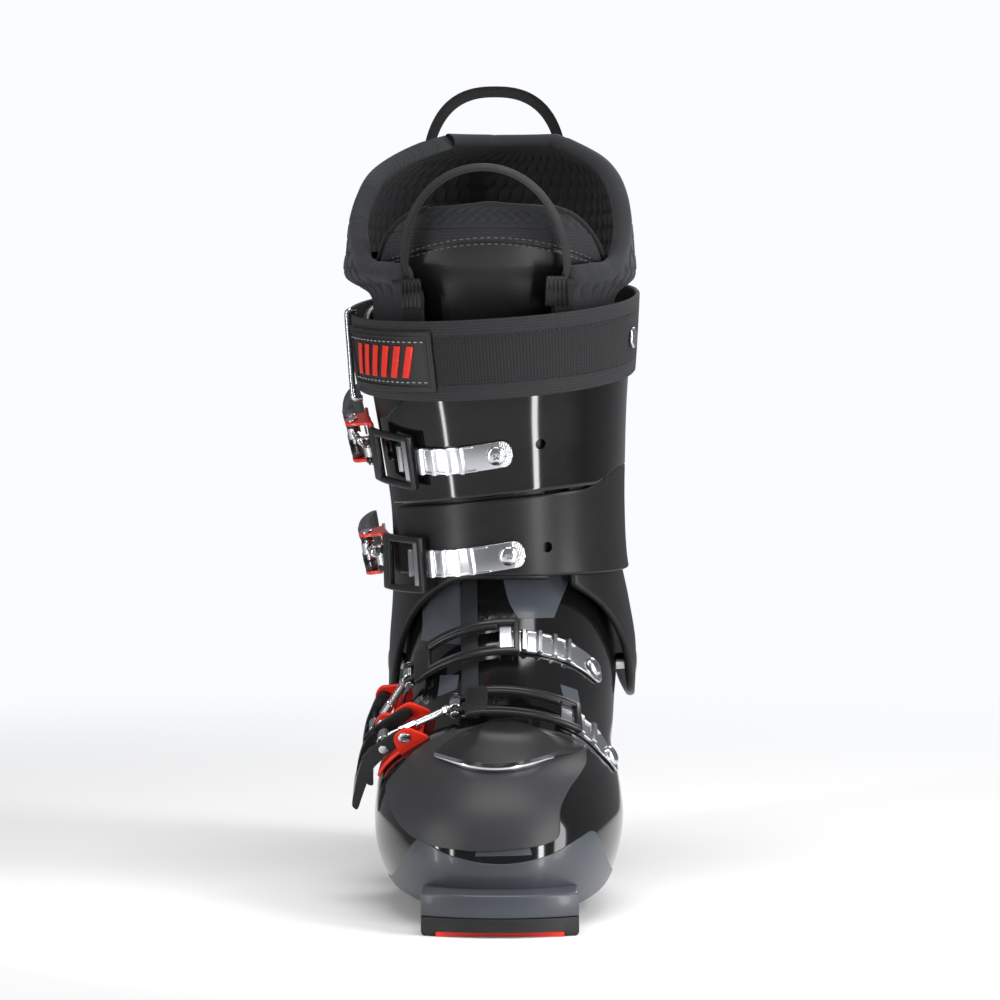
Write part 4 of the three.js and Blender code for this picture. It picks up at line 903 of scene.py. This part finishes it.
    ladder = Piece()
    pitch, face = 7, ladder_lift + ladder_plate
    first = cross_at - 5 - (pitch if on_cuff else 0)
    teeth = int((teeth_end - 1 - first) // pitch)
    lengths, tops = [first - 1], [face]
    for k in range(teeth):
        for t in np.linspace(0, 1, 8):
            lengths.append(first + pitch * k + 3.4 * t)
            tops.append(face + tooth_rise * min(1, 1.5 * math.sin(math.pi * t)))
    lengths += list(np.linspace(first + teeth * pitch + 0.2, ladder_end - 4, 8))
    tops += [face] * 8
    bar(ladder, girth, lengths, ladder_lift, tops, -half_ladder, half_ladder, r=0.35)
    for k in range(6):
        a, b = ladder_end - 4.2 + 0.75 * k, ladder_end - 3.2 + 0.75 * k
        half_here = half_ladder * math.sqrt(max(0.05, 1 - (0.17 * (k + 0.4)) ** 2))
        bar(ladder, girth, [a, (a + b) / 2, b], ladder_lift, face, -half_here, half_here, r=0.3)
    for side in (-1, 1):
        bar(ladder, girth, np.linspace(first + 1, teeth_end - 2, 30), 1.2, 2.1,
            *sorted((side * half_ladder, side * (half_ladder - 1.3))), r=0.35)
    ladder.make(f"{name}_rack", carrier, alloy, f"{name}_ladder", "alloy", sharp=45)
    if on_cuff:
        spare = 9.5 if name.startswith("upper") else 16
        hole = Piece()
        turned(hole, girth.at(spare, -5), girth.frame(spare)[2], [(2.5, 0), (2.5, 8)], sides=40)
        carved(flaps[name.split("_")[0]], hole)

    screw = Piece()
    head_rise = 2.6
    g = girth.frame(screw_at)
    turned(screw, girth.at(screw_at, 1.7), g[2], dome(4.7, 0, head_rise))
    made = screw.make(f"{name}_bolt", carrier, steel, f"{name}_screw", "steel")
    carved(made, cross_cutter(girth.at(screw_at, 1.7 + head_rise), g[2], (g[1] + g[3]) / math.sqrt(2), 2.4, 1.6))


# ------------------------------------------------------------------ power strap
# A wide woven strap round the top of the cuff, with a moulded rubber patch, a bright ring that it
# returns through, and a small hook stud.
# Woven Cloth: the colour runs from Yarn to the darker Shade colour where the weave is low. That is painted shade
# between the yarns. The fibre noise adds random tone.
weave, given, result = group(
    "Woven Cloth",
    [("Pitch", "NodeSocketFloat", 1.2), ("Depth", "NodeSocketFloat", 0.5), ("Fuzz", "NodeSocketFloat", 0.1),
     ("Yarn", "NodeSocketColor", (0.02, 0.02, 0.02, 1)), ("Shade", "NodeSocketColor", (0.008, 0.008, 0.008, 1)),
     ("Slant", "NodeSocketFloat", 1.0)],
    [("Color", "NodeSocketColor"), ("Normal", "NodeSocketVector")])
chart = weave.nodes.new("ShaderNodeUVMap")
parts = weave.nodes.new("ShaderNodeSeparateXYZ")
weave.links.new(chart.outputs["UV"], parts.inputs["Vector"])
across = math_node(weave, "DIVIDE", parts.outputs["X"], given.outputs["Pitch"])
upward = math_node(weave, "DIVIDE", parts.outputs["Y"], given.outputs["Pitch"])
slanted = math_node(weave, "MULTIPLY_ADD", upward, given.outputs["Slant"], across)
rib = math_node(weave, "SINE", math_node(weave, "MULTIPLY", slanted, 2 * math.pi))
row = math_node(weave, "SINE", math_node(weave, "MULTIPLY", upward, 2 * math.pi))
fibre = weave.nodes.new("ShaderNodeTexNoise")
fibre.inputs["Scale"].default_value = 1600.0
fibre_spot = weave.nodes.new("ShaderNodeTexCoord")
weave.links.new(fibre_spot.outputs["Object"], fibre.inputs["Vector"])
mixed = math_node(weave, "MULTIPLY_ADD", rib, 0.25, math_node(weave, "MULTIPLY_ADD", row, 0.15, 0.5))
mixed = math_node(weave, "MULTIPLY_ADD", fibre.outputs["Fac"], given.outputs["Fuzz"], mixed)
# Painted shade: the yarn colour falls to the darker Shade colour in the weave's low spots.
yarn_and_painted_shade = weave.nodes.new("ShaderNodeMix")
yarn_and_painted_shade.data_type = "RGBA"
weave.links.new(given.outputs["Shade"], yarn_and_painted_shade.inputs["A"])
weave.links.new(given.outputs["Yarn"], yarn_and_painted_shade.inputs["B"])
weave.links.new(mixed, yarn_and_painted_shade.inputs["Factor"])
relief = weave.nodes.new("ShaderNodeBump")
relief.inputs["Distance"].default_value = 0.0006
weave.links.new(given.outputs["Depth"], relief.inputs["Strength"])
weave.links.new(mixed, relief.inputs["Height"])
weave.links.new(yarn_and_painted_shade.outputs["Result"], result.inputs["Color"])
weave.links.new(relief.outputs["Normal"], result.inputs["Normal"])


def cloth(name, yarn, painted_shade, pitch, slant=1.0, depth=0.5, fuzz=0.3, rough=0.8, sheen=0.05):
    """A woven or knitted material; pitch is in mm; the darker second colour is painted shade in the weave's
    hollows.
    """
    material, tree, shader = principled(name, yarn, rough, sheen=sheen)
    look = tree.nodes.new("ShaderNodeGroup")
    look.node_tree = bpy.data.node_groups["Woven Cloth"]
    for label, value in (("Pitch", pitch), ("Depth", depth), ("Fuzz", fuzz), ("Slant", slant),
                         ("Yarn", (*yarn, 1)), ("Shade", (*painted_shade, 1))):
        look.inputs[label].default_value = value
    tree.links.new(look.outputs["Color"], shader.inputs["Base Color"])
    tree.links.new(look.outputs["Normal"], shader.inputs["Normal"])
    return material


# The second colour of each cloth is its painted shade in the weave's low spots.
webbing = cloth("strap webbing", (0.02, 0.0205, 0.022), (0.005, 0.005, 0.0055), 1.5, slant=0.0)
webbing_edge = cloth("strap edge twill", (0.032, 0.033, 0.035), (0.005, 0.005, 0.0055), 1.4)
strap_girth = Girth(cuff_form, (-2, 190, 261.8), 7.1, 3.9, 3.3 + 0.8)
first, last = strap_girth.lengths[0], strap_girth.lengths[-1]
turn_at = first + (last - first) * (np.arange(300) + 0.01) / 300
border = 11.6
section = np.array([(-19, 1.3), (-18.8, 2.1), (-18.2, 2.55), (-12, 2.6), (-border, 2.45), (-11.2, 2.6), (-6, 2.6),
                    (0, 2.6), (6, 2.6), (11.2, 2.6), (border, 2.45), (12, 2.6), (18.2, 2.55), (18.8, 2.1),
                    (19, 1.3), (18.8, 0.5), (18.2, 0.05), (6, 0), (-6, 0), (-18.2, 0.05), (-18.8, 0.5)])
points = strap_girth.at(turn_at[:, None], section[None, :, 1], section[:, 0])
strap = Piece()
count, width = points.shape[:2]
flat = [(turn_at[i], section[j][0]) for i in range(count) for j in range(width)]
band, band_slots = [], []
for i in range(count):
    for j in range(width):
        k, m = (j + 1) % width, (i + 1) % count
        band.append([i * width + j, i * width + k, m * width + k, m * width + j])
        band_slots.append(1 if abs(section[j][0] + section[k][0]) / 2 > border - 0.1 else 0)
strap.add(points, band, flat)
strap.slots = band_slots
for k, face in enumerate(strap.faces):
    if face[2] < face[0]:
        strap.uvs[k] = [(u + (last - first if q > 1 else 0), v) for q, (u, v) in enumerate(strap.uvs[k])]
strap.make("strap_webbing", "cuff", [webbing, webbing_edge], "power_strap", "webbing", sharp=70)

rubber = moulded("rubber patch", (0.017, 0.017, 0.018), 0.5, grain_size=0.0006, grain=0.3)
patch = Piece()
bar(patch, strap_girth, np.linspace(-88, -29, 40), 2.9, 4.6, -14.5, 14.5, r=0.8)
for low in (11.4, -12.4):
    bar(patch, strap_girth, np.linspace(-85.5, -31.5, 30), 4.4, 5.1, low, low + 1, r=0.3)
for at in (-86, -32):
    bar(patch, strap_girth, np.linspace(at, at + 1, 3), 4.4, 5.1, -12.4, 12.4, r=0.3)
patch.make("strap_badge", "cuff", rubber, "strap_patch", "patch")
motif = Piece()
for start in range(-80, -44, 7):
    for t in np.linspace(0, 1, 14)[:-1]:
        low = -7.5 + 15 * t
        lean = start + 4.5 * t
        bar(motif, strap_girth, np.linspace(lean, lean + 3.6, 4), 4.4, 5.2, low, low + 1.3, r=0.25)
motif.make("badge_bars", "cuff", red, slot="patch")

ring = Piece()
f = strap_girth.frame(-93)
side_of_ring = [(4.95, 19), (4.6, 20.6), (3.4, 21.1), (0.6, 21.1)]
bends = [(n, -w) for n, w in side_of_ring[::-1]] + [(4.95, 0)] + side_of_ring
path = spline([in_frame(f, 0, n, w) for n, w in bends], 60)


def tube(piece, path, radius, sides=14):
    """A round bar along a path."""
    path = np.asarray(path, float)
    rings = []
    normal = None
    for i in range(len(path)):
        way = path[min(i + 1, len(path) - 1)] - path[max(i - 1, 0)]
        way /= np.linalg.norm(way)
        guide = np.array([0.31, 0.52, 0.79]) if normal is None else normal
        normal = guide - way * guide.dot(way)
        normal /= np.linalg.norm(normal)
        other = np.cross(way, normal)
        a = np.linspace(0, 2 * math.pi, sides, endpoint=False)[:, None]
        rings.append(path[i] + radius * (np.cos(a) * normal + np.sin(a) * other))
    piece.grid(np.array(rings), wrap=True, caps=True)


tube(ring, path, 1.5)
ring.make("strap_loop", "cuff", polished, "strap_ring", "steel")
stud = Piece()
f = strap_girth.frame(84)
turned(stud, in_frame(f, 0, 3.2), f[2], dome(5, 0, 1.8))
stud.make("strap_rivet", "cuff", steel, "strap_stud", "steel")


# ------------------------------------------------------------------ liner
# The soft inner boot: a thick knitted foam sleeve, quilted in hexagons round the collar, with a
# rolled rim. Its foot part stays in the shell and its upper part leans with the cuff.
liner_form = Form(
    [[120, 143, 294, -47.2, 58], [155, 139.5, 288.3, -47, 53.8], [181, 135.5, 282.3, -48, 52.4],
     [208, 129.5, 275.3, -51.8, 52.4], [232, 123.5, 269.3, -56, 53], [255, 118, 263.8, -59.6, 54.3],
     [272, 112.5, 259, -61.5, 55], [283, 108, 256, -63, 56.5], [291, 103.5, 254.5, -74.5, 65],
     [305, 99, 252.5, -74, 64.8], [318, 97, 251, -72.5, 63.5], [330, 97.5, 249.5, -69, 61.5],
     [342, 99, 247, -64, 58], [352, 103, 243, -55.5, 52.5], [365, 116, 233, -40, 39]],
    [[0, 2.25], [400, 2.25]])


def hexagons(u, v, size):
    """0 on the seams of a honeycomb and 1 inside its cells."""
    px, py = u / size, v / size
    ry = math.sqrt(3)
    ax, ay = np.mod(px, 1) - 0.5, np.mod(py, ry) - ry / 2
    bx, by = np.mod(px - 0.5, 1) - 0.5, np.mod(py - ry / 2, ry) - ry / 2
    nearer = ax**2 + ay**2 < bx**2 + by**2
    gx, gy = np.abs(np.where(nearer, ax, bx)), np.abs(np.where(nearer, ay, by))
    away = np.maximum(gx, gx * 0.5 + gy * 0.866)
    t = np.clip((0.5 - away) / 0.16, 0, 1)
    return t * t * (3 - 2 * t)


# The knit's darker second colour is painted shade in the hollows of its weave.
knit = cloth("charcoal knit", (0.03, 0.031, 0.0335), (0.01, 0.0102, 0.011), 0.8, slant=0.5, fuzz=0.9,
             rough=0.95, depth=0.3, sheen=0.1)
hexagon, sleeve_wall = 8.6, 9
split_line = [[60, 209], [145, 179], [292, 122.8], [340, 104]]
collar_rim = [[60, 284], [128, 290], [148, 306], [172, 330], [205, 352], [236, 367], [340, 375]]
# The sleeve is open in front: its two edges run down beside the tongue.
share = np.linspace(0, 1, 420)[None, :]
rise = np.linspace(0, 1, 170)[:, None]
z = 200 + 100 * rise + 0 * share
for _ in range(30):
    x_right = np.where(z < 240, 22 + (z - 196) * 10 / 44, 32 + (z - 240) / 80)
    x_left = np.where(z < 240, -30 - (z - 196) * 14 / 44, -44 - (z - 240) / 80)
    front, back, left_x, right_x = (curve(liner_form.levels, z, k) for k in (1, 2, 3, 4))
    middle, half = (left_x + right_x) / 2, (right_x - left_x) / 2
    a_right = np.arcsin(np.clip((x_right - middle) / half, -1, 1))
    a_left = 2 * math.pi - np.arcsin(np.clip((middle - x_left) / half, -1, 1))
    angle = a_right + share * (a_left - a_right)
    s = liner_form.drawn(angle, z)[1]
    low_z, high_z = curve(split_line, s), np.minimum(curve(collar_rim, s), 362)
    z = 0.5 * z + 0.5 * (low_z + (high_z - low_z) * rise)
ring_row = liner_form.lifted(angle[120], z[120], 0 * z[120])
along_rim = np.concatenate([[0], np.cumsum(np.linalg.norm(np.diff(ring_row, axis=0), axis=1))])
u = along_rim[None, :] + 0 * z
cells, under_rim = hexagons(u, z, hexagon), np.clip((high_z - z - 1.5) / 4, 0, 1)
fade = np.clip((z - 278) / 8, 0, 1) * under_rim
outer = liner_form.lifted(angle, z, -1.2 * fade + 1.2 * cells * fade)
inside_fade = np.clip((z - 215) / 10, 0, 1) * under_rim
inner = liner_form.lifted(angle, z, -sleeve_wall + 1.1 * inside_fade - 1.1 * cells * inside_fade)
collar = Piece()
collar.rimmed(outer, inner, bulge=4.2, segments=12, uv=np.stack([u, z], axis=-1))
made = collar.make("liner_sleeve", "cuff", knit, "liner_cuff", "foam", sharp=80)
black_cloth = cloth("black piping", (0.01, 0.01, 0.011), (0.004, 0.004, 0.004), 0.8)

shoe = Piece()
shoe_out, shoe_wall = shell_wall + 0.8, 5
angles = np.linspace(0, 2 * math.pi, 160, endpoint=False)
high = shell_form.trim(angles, [[60, 193], [145, 163.5], [292, 119.5], [330, 108]], "s")
low = np.where(shell_form.drawn(angles, 50 + 0 * angles)[1] > 230, 42.5, 30.5)
z = low + np.linspace(0, 1, 60)[:, None] * (high - low)
spread = angles + 0 * z
shoe.rimmed(shell_form.lifted(spread, z, 0 * z - shoe_out),
            shell_form.lifted(spread, z, 0 * z - shoe_out - shoe_wall), wrap=True, bulge=1.5,
            uv=np.stack([spread * 50, z], axis=-1))
made = shoe.make("liner_shoe", "lower_shell", knit, "liner_foot", "foam")


# ------------------------------------------------------------------ tongue
# The padded tongue: a braided band at the top, a mesh panel, and a smooth leather-like panel below a
# curved seam, edged with black piping.
def groove(value, at, width):
    return np.exp(-(((value - at) / width) ** 2))


def seam_line(across):
    """The height of the curved seam, across it in units of 50 mm from its middle."""
    return 303.5 - 9 * across**2


def tongue_front(x, z, height):
    """The point at x, z of the liner's front, with x measured where the lifted point lies."""
    side = np.full(np.shape(x), 1.5)
    low, high = halved(lambda angle: liner_form.lifted(angle, z, height)[..., 0] < x * wide, -side, side, 30)
    return liner_form.lifted((low + high) / 2, z, height)


left = spline([[-33, 190], [-49, 225], [-59, 262], [-61, 288], [-56, 306], [-46, 318], [-34, 322.5]], 150)
right = spline([[29, 190], [45, 225], [53, 262], [52, 292], [46, 308], [36, 318], [24, 322.5]], 150)
t = np.linspace(0, 1, 180)[None, :]
x = left[:, :1] * (1 - t) + right[:, :1] * t
z = left[:, 1:] * (1 - t) + right[:, 1:] * t
centre = (x - (left[:, :1] + right[:, :1]) / 2) / 50
tongue_out, tongue_thick, band_low = -9.8, 6.5, 310.5
top_band = np.clip((z - 311) / 1.5, 0, 1) * np.clip((322 - z) / 2.5, 0, 1)
braid = 0.5 + 0.5 * np.sin(2 * math.pi * (x / 5.2 + 0.25 * np.sin(2 * math.pi * z / 5.2)))
height = tongue_out - 0.35 - 0.9 * groove(z, seam_line(centre), 0.7) - 0.7 * groove(z, band_low, 0.6)
height = height - 0.6 * top_band * (1 - braid)
edge_fade = np.minimum(np.minimum(t * 20, (1 - t) * 20), 1) + 0 * z
height = height - 1.4 * (1 - edge_fade) ** 2
outer = tongue_front(x, z, height)
inner = tongue_front(x, z, tongue_out - tongue_thick + 0 * z)
tongue = Piece()
tongue.rimmed(outer, inner, bulge=2.2, segments=8, uv=np.stack([x, z], axis=-1))
panel = moulded("tongue panel", (0.017, 0.0173, 0.0185), 0.42, grain_size=0.0008, grain=0.25)
mesh_cloth = cloth("tongue mesh", (0.035, 0.036, 0.039), (0.006, 0.006, 0.0065), 1.6, fuzz=0.2)
for k, uvs in enumerate(tongue.uvs):
    u, v = np.mean([uv[0] for uv in uvs]), np.mean([uv[1] for uv in uvs])
    tongue.slots[k] = 1 if v < seam_line((u + 4) / 50) else (2 if v < band_low else 0)
made = tongue.make("tongue_pad", "cuff", [knit, panel, mesh_cloth], "tongue", "foam", sharp=80)
edging = Piece()
for column, inset in ((3, 1), (176, -1)):
    tube(edging, outer[20:, column] + np.array([0, -0.3, 0]), 1.3, sides=12)
edging.make("tongue_piping", "cuff", black_cloth, slot="webbing")


def stitched(name, paths, material):
    """A row of stitches along each path, made by a node tree and left as a plain mesh."""
    tree = bpy.data.node_groups.get("Stitch Row")
    if tree is None:
        tree = bpy.data.node_groups.new("Stitch Row", "GeometryNodeTree")
        for label, kind in (("Path", "NodeSocketGeometry"), ("Spacing", "NodeSocketFloat"),
                            ("Length", "NodeSocketFloat"), ("Width", "NodeSocketFloat"),
                            ("Thread", "NodeSocketMaterial")):
            tree.interface.new_socket(label, in_out="INPUT", socket_type=kind)
        tree.interface.new_socket("Stitches", in_out="OUTPUT", socket_type="NodeSocketGeometry")
        node = {k: tree.nodes.new(kind) for k, kind in dict(
            given="NodeGroupInput", curve="GeometryNodeMeshToCurve", even="GeometryNodeResampleCurve",
            tangent="GeometryNodeInputTangent", turn="FunctionNodeAlignRotationToVector",
            bead="GeometryNodeMeshUVSphere", size="ShaderNodeCombineXYZ", shape="GeometryNodeTransform",
            copies="GeometryNodeInstanceOnPoints", real="GeometryNodeRealizeInstances",
            paint="GeometryNodeSetMaterial", result="NodeGroupOutput").items()}
        node["even"].mode = "LENGTH"
        node["bead"].inputs["Segments"].default_value = 8
        node["bead"].inputs["Rings"].default_value = 6
        node["bead"].inputs["Radius"].default_value = 0.5
        node["turn"].axis = "X"
        for a, b, c, d in (("given", "Path", "curve", "Mesh"), ("curve", "Curve", "even", "Curve"),
                           ("given", "Spacing", "even", "Length"), ("even", "Curve", "copies", "Points"),
                           ("tangent", "Tangent", "turn", "Vector"), ("turn", "Rotation", "copies", "Rotation"),
                           ("given", "Length", "size", "X"), ("given", "Width", "size", "Y"),
                           ("given", "Width", "size", "Z"), ("size", "Vector", "shape", "Scale"),
                           ("bead", "Mesh", "shape", "Geometry"), ("shape", "Geometry", "copies", "Instance"),
                           ("copies", "Instances", "real", "Geometry"), ("real", "Geometry", "paint", "Geometry"),
                           ("given", "Thread", "paint", "Material"), ("paint", "Geometry", "result", "Stitches")):
            tree.links.new(node[a].outputs[b], node[c].inputs[d])
    mesh = bpy.data.meshes.new(name)
    verts, edges = [], []
    for path in paths:
        edges += [(len(verts) + i, len(verts) + i + 1) for i in range(len(path) - 1)]
        verts += (np.asarray(path) * 0.001).tolist()
    mesh.from_pydata(verts, edges, [])
    made = bpy.data.objects.new(name, mesh)
    bpy.context.collection.objects.link(made)
    modifier = made.modifiers.new("stitches", "NODES")
    modifier.node_group = tree
    values = {"Spacing": 0.0032, "Length": 0.0022, "Width": 0.0006, "Thread": material}
    for item in tree.interface.items_tree:
        if item.name in values and item.in_out == "INPUT":
            modifier[item.identifier] = values[item.name]
    baked(made)
    made.data.shade_smooth()
    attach(made, "cuff")


seam_x = np.linspace(-50, 42, 80)
seam = seam_line((seam_x + 4) / 50)
rows = [tongue_front(seam_x, seam + lift, 0 * seam - 10.0) for lift in (1.6, -1.6)]
stitched("tongue_stitches", rows, principled("grey thread", (0.12, 0.122, 0.13), 0.6)[0])
rows = [strap_girth.at(np.linspace(-84, -33, 50), 4.85, a) for a in (-9.6, 9.6)]
stitched("badge_stitches", rows, principled("pale thread", (0.35, 0.35, 0.36), 0.6)[0])
rows = [strap_girth.at(np.linspace(-24, 80, 100), 2.62, a) for a in (-border, border)]
stitched("strap_stitches", rows, principled("black thread", (0.02, 0.02, 0.022), 0.6)[0])


# ------------------------------------------------------------------ pull loops
# Two loops of flat webbing sewn to the liner: one at the back of the collar, one on the tongue.
loop_cloth = cloth("loop webbing", (0.022, 0.0225, 0.024), (0.005, 0.005, 0.0055), 1.1)
loop_thick = 1.6


def loop_foot(centre, half_span, side):
    """Where a loop's foot lies on the liner, a little under the loop's centre."""
    foot = world(*centre) + np.array([side * half_span * wide, 0, 0])
    angles = np.linspace(-math.pi, math.pi, 2000)
    skin = liner_form.skin(angles, foot[2] - 8 + 0 * angles)
    near = int(np.argmin(np.linalg.norm((skin - foot)[:, :2], axis=1)))
    return skin[near], angles[near]


def pull_loop(name, node, centre, half_span, rise_high, lean, breadth, round_by, tilt):
    """A half ring of webbing whose ends settle on the liner."""
    feet = [loop_foot(centre, half_span, side)[0] for side in (-1, 1)]
    centre = world(*centre)
    feet = [foot - centre - np.array([side * half_span * wide, 0, 0])
            + np.array([side * 1.2, -2.2 if foot[1] < centre[1] + 8 else 2.2, 0])
            for foot, side in zip(feet, (-1, 1))]
    half = loop_thick / 2
    section = [(a * breadth / 2, half + half * (1 - a**6)) for a in np.linspace(-1, 1, 9)]
    section += [(a * breadth / 2 * 0.98, half - half * (1 - a**6)) for a in np.linspace(1, -1, 9)]
    turns = np.linspace(0, math.pi, 90)
    rings, flat, travelled, before = [], [], 0.0, None
    for angle in turns:
        across = math.copysign(abs(math.cos(angle)) ** round_by, math.cos(angle))
        high = abs(math.sin(angle)) ** round_by
        settle = (1 - high) ** 2 * feet[0 if across > 0 else 1]

        def at(grow, side):
            turned_out = grow + side * math.sin(tilt)
            return settle + np.array([centre[0] - across * (half_span * wide + turned_out),
                                      centre[1] - high * rise_high * lean + side * math.cos(tilt),
                                      centre[2] + high * (rise_high + turned_out)])

        here = at(0, 0)
        travelled += 0 if before is None else float(np.linalg.norm(here - before))
        before = here
        rings.append([at(h, a) for a, h in section])
        flat += [(travelled, a) for a, _ in section]
    loop = Piece()
    loop.grid(np.array(rings), wrap=True, caps=True, uv=flat)
    loop.make(name, "cuff", loop_cloth, node, "webbing", sharp=50)


def loop_tabs(name, centre, half_span, breadth, low_z, high_z):
    """The sewn feet of a loop, flat on the liner."""
    tabs = Piece()
    for side in (-1, 1):
        near = loop_foot(centre, half_span, side)[1]
        reach = breadth / 2 / 62
        edges = [[60, low_z], [330, low_z]], [[60, high_z], [330, high_z]]
        outer, inner, uv = wall(liner_form, np.linspace(near - reach, near + reach, 16), *edges, 16, (1.9, -1))
        tabs.rimmed(outer, inner, bulge=0.3, uv=uv)
    tabs.make(name, "cuff", loop_cloth, slot="webbing")


rear_loop, front_loop = ((-2.5, 244.9, 340), 34.3), ((-8, 111.3, 285), 42.4)
loop_tabs("collar_tabs", *rear_loop, 14, 322, 343)
loop_tabs("tongue_tabs", *front_loop, 10, 268, 288)
pull_loop("collar_strap", "rear_loop", *rear_loop, 44.5, 0, 12, 0.82, -0.4)
pull_loop("tongue_strap", "tongue_loop", *front_loop, 53.5, 0.22, 9, 1, 0.42)


# ------------------------------------------------------------------ collar wings
# Ribbed moulded tabs that hold the front corners of the collar against the strap.
for name, centre_x, z0, z1, span in (("outer", -41, 276, 289, 10), ("inner", 26.5, 277, 290, 11)):
    wing = Piece()
    rib_count = 5
    left = spline([[centre_x - span / 2, z0], [centre_x - span / 2 + 0.6, z1]], 24)
    right = spline([[centre_x + span / 2, z0], [centre_x + span / 2 - 1, z1]], 24)
    t = np.linspace(0, 1, 50)[None, :]
    x = left[:, :1] * (1 - t) + right[:, :1] * t
    z = left[:, 1:] * (1 - t) + right[:, 1:] * t
    outside = tongue_front(x, z, 2.3 + 0.25 * (1 + np.cos(2 * math.pi * rib_count * (t + 0 * x))))
    inside = tongue_front(x, z, 0.3 + 0 * x)
    wing.rimmed(outside, inside, bulge=0.4)
    wing.make(f"collar_tab_{name}", "cuff", black_part, f"collar_wing_{name}", "black_part")


# ------------------------------------------------------------------ boot board and footbed
# The hard wedge that the liner stands on and the insole inside it, seen only with the liner out.
board_grey = moulded("boot board", (0.06, 0.061, 0.065), 0.7, grain=0.2)
for name, lift, inset, thick, front_s, back_s in (
        ("boot_board", 0.3, shoe_out, 4.7, 38, 296), ("footbed", 10.6, shoe_out + shoe_wall + 0.8, 3, 44, 288)):
    bed = Piece()
    s_rows = np.linspace(front_s + 3, back_s - 3, 120)
    floor_z = np.interp(s_rows, [0, 165, 230, 330], [24, 24, 35.5, 35.5]) + lift
    y_rows = (s_rows - heel_centre) * long
    angles = np.linspace(0.02, math.pi - 0.02, 200)
    sides = []
    for turn in (-angles, angles):
        skins = [shell_form.lifted(turn, z_at + 0 * angles, -inset + 0 * angles) for z_at in floor_z]
        sides.append(np.array([np.interp(y, skin[:, 1], skin[:, 0]) for y, skin in zip(y_rows, skins)]))
    t = np.linspace(0, 1, 30)[None, :]
    x = sides[0][:, None] * (1 - t) + sides[1][:, None] * t
    top = np.stack([x, np.broadcast_to(y_rows[:, None], x.shape),
                    np.broadcast_to(floor_z[:, None] + thick, x.shape)], axis=-1)
    under = top - np.array([0, 0, thick])
    bed.rimmed(top, under, bulge=0.6)
    bed.make(f"{name}_sheet", "lower_shell", board_grey, name, "board")


# ------------------------------------------------------------------ floor, light and camera
# A pale floor with soft light from both sides, seen from the front at half the boot's height.
room_color, room_glow, floor_radius = (0.96, 0.97, 1.0, 1), 0.22, 4
floor_mesh = bpy.data.meshes.new("floor")
turns = np.linspace(0, 2 * math.pi, 96, endpoint=False)
rim = [(floor_radius * math.cos(t), floor_radius * math.sin(t), 0) for t in turns]
floor_mesh.from_pydata(rim, [], [list(range(96))])
# Away from the boot the floor melts into the pale room behind it.
pale, pale_tree, pale_shader = principled("pale floor", (0.86, 0.86, 0.86), 0.8)
spot = pale_tree.nodes.new("ShaderNodeNewGeometry")
length = pale_tree.nodes.new("ShaderNodeVectorMath")
length.operation = "LENGTH"
pale_tree.links.new(spot.outputs["Position"], length.inputs[0])
fade = pale_tree.nodes.new("ShaderNodeMapRange")
fade.interpolation_type = "SMOOTHSTEP"
fade.inputs["From Min"].default_value, fade.inputs["From Max"].default_value = 0.3, 0.95
pale_tree.links.new(length.outputs["Value"], fade.inputs["Value"])
seen = pale_tree.nodes.new("ShaderNodeLightPath")
strength = pale_tree.nodes.new("ShaderNodeMapRange")
strength.inputs["To Min"].default_value, strength.inputs["To Max"].default_value = room_glow, 1.0
pale_tree.links.new(seen.outputs["Is Camera Ray"], strength.inputs["Value"])
room = pale_tree.nodes.new("ShaderNodeEmission")
room.inputs["Color"].default_value = room_color
pale_tree.links.new(strength.outputs["Result"], room.inputs["Strength"])
blend = pale_tree.nodes.new("ShaderNodeMixShader")
pale_tree.links.new(fade.outputs["Result"], blend.inputs["Fac"])
pale_tree.links.new(pale_shader.outputs["BSDF"], blend.inputs[1])
pale_tree.links.new(room.outputs["Emission"], blend.inputs[2])
surface = next(n for n in pale_tree.nodes if n.type == "OUTPUT_MATERIAL")
pale_tree.links.new(blend.outputs["Shader"], surface.inputs["Surface"])
floor_mesh.materials.append(pale)
ground = bpy.data.objects.new("floor", floor_mesh)
bpy.context.collection.objects.link(ground)
# The narrow lamps draw the bright bands on the glossy flap; all of them look at the boot's middle.
for name, place_at, size, power in (("left", (-0.95, -0.95, 0.5), (0.1, 1.1), 5),
                                    ("right", (0.95, -0.5, 0.5), (0.3, 1.1), 9),
                                    ("strip", (0.19, -0.42, 0.13), (0.035, 0.25), 0.6),
                                    ("thin", (-0.256, -0.31, 0.11), (0.018, 0.2), 0.25),
                                    ("top", (0.0, -0.45, 1.5), (1.0, 0.6), 12),
                                    ("back", (0.4, 1.3, 1.1), (1.0, 0.6), 12)):
    data = bpy.data.lights.new(name, "AREA")
    data.shape, data.size, data.size_y, data.energy = "RECTANGLE", *size, power
    lamp = bpy.data.objects.new(name, data)
    lamp.location = place_at
    lamp.rotation_euler = (Vector((0, -0.1, 0.17)) - Vector(place_at)).to_track_quat("-Z", "Y").to_euler()
    bpy.context.collection.objects.link(lamp)
    lamp.visible_camera = False
world_light = bpy.data.worlds.new("studio")
world_light.use_nodes = True
sky = world_light.node_tree
sky.nodes["Background"].inputs["Color"].default_value = room_color
seen = sky.nodes.new("ShaderNodeLightPath")
sky.links.new(math_node(sky, "MULTIPLY_ADD", seen.outputs["Is Camera Ray"], 1 - room_glow, room_glow),
              sky.nodes["Background"].inputs["Strength"])
bpy.context.scene.world = world_light
lens = bpy.data.cameras.new("camera")
lens.lens, lens.clip_start = 125.3, 0.05
camera = bpy.data.objects.new("camera", lens)
camera.location = (0, -1.773, 0.2453)
camera.rotation_euler = (math.radians(90 - 2.1), 0, 0)
bpy.context.collection.objects.link(camera)
bpy.context.scene.camera = camera
bpy.context.scene.view_settings.view_transform = "Standard"
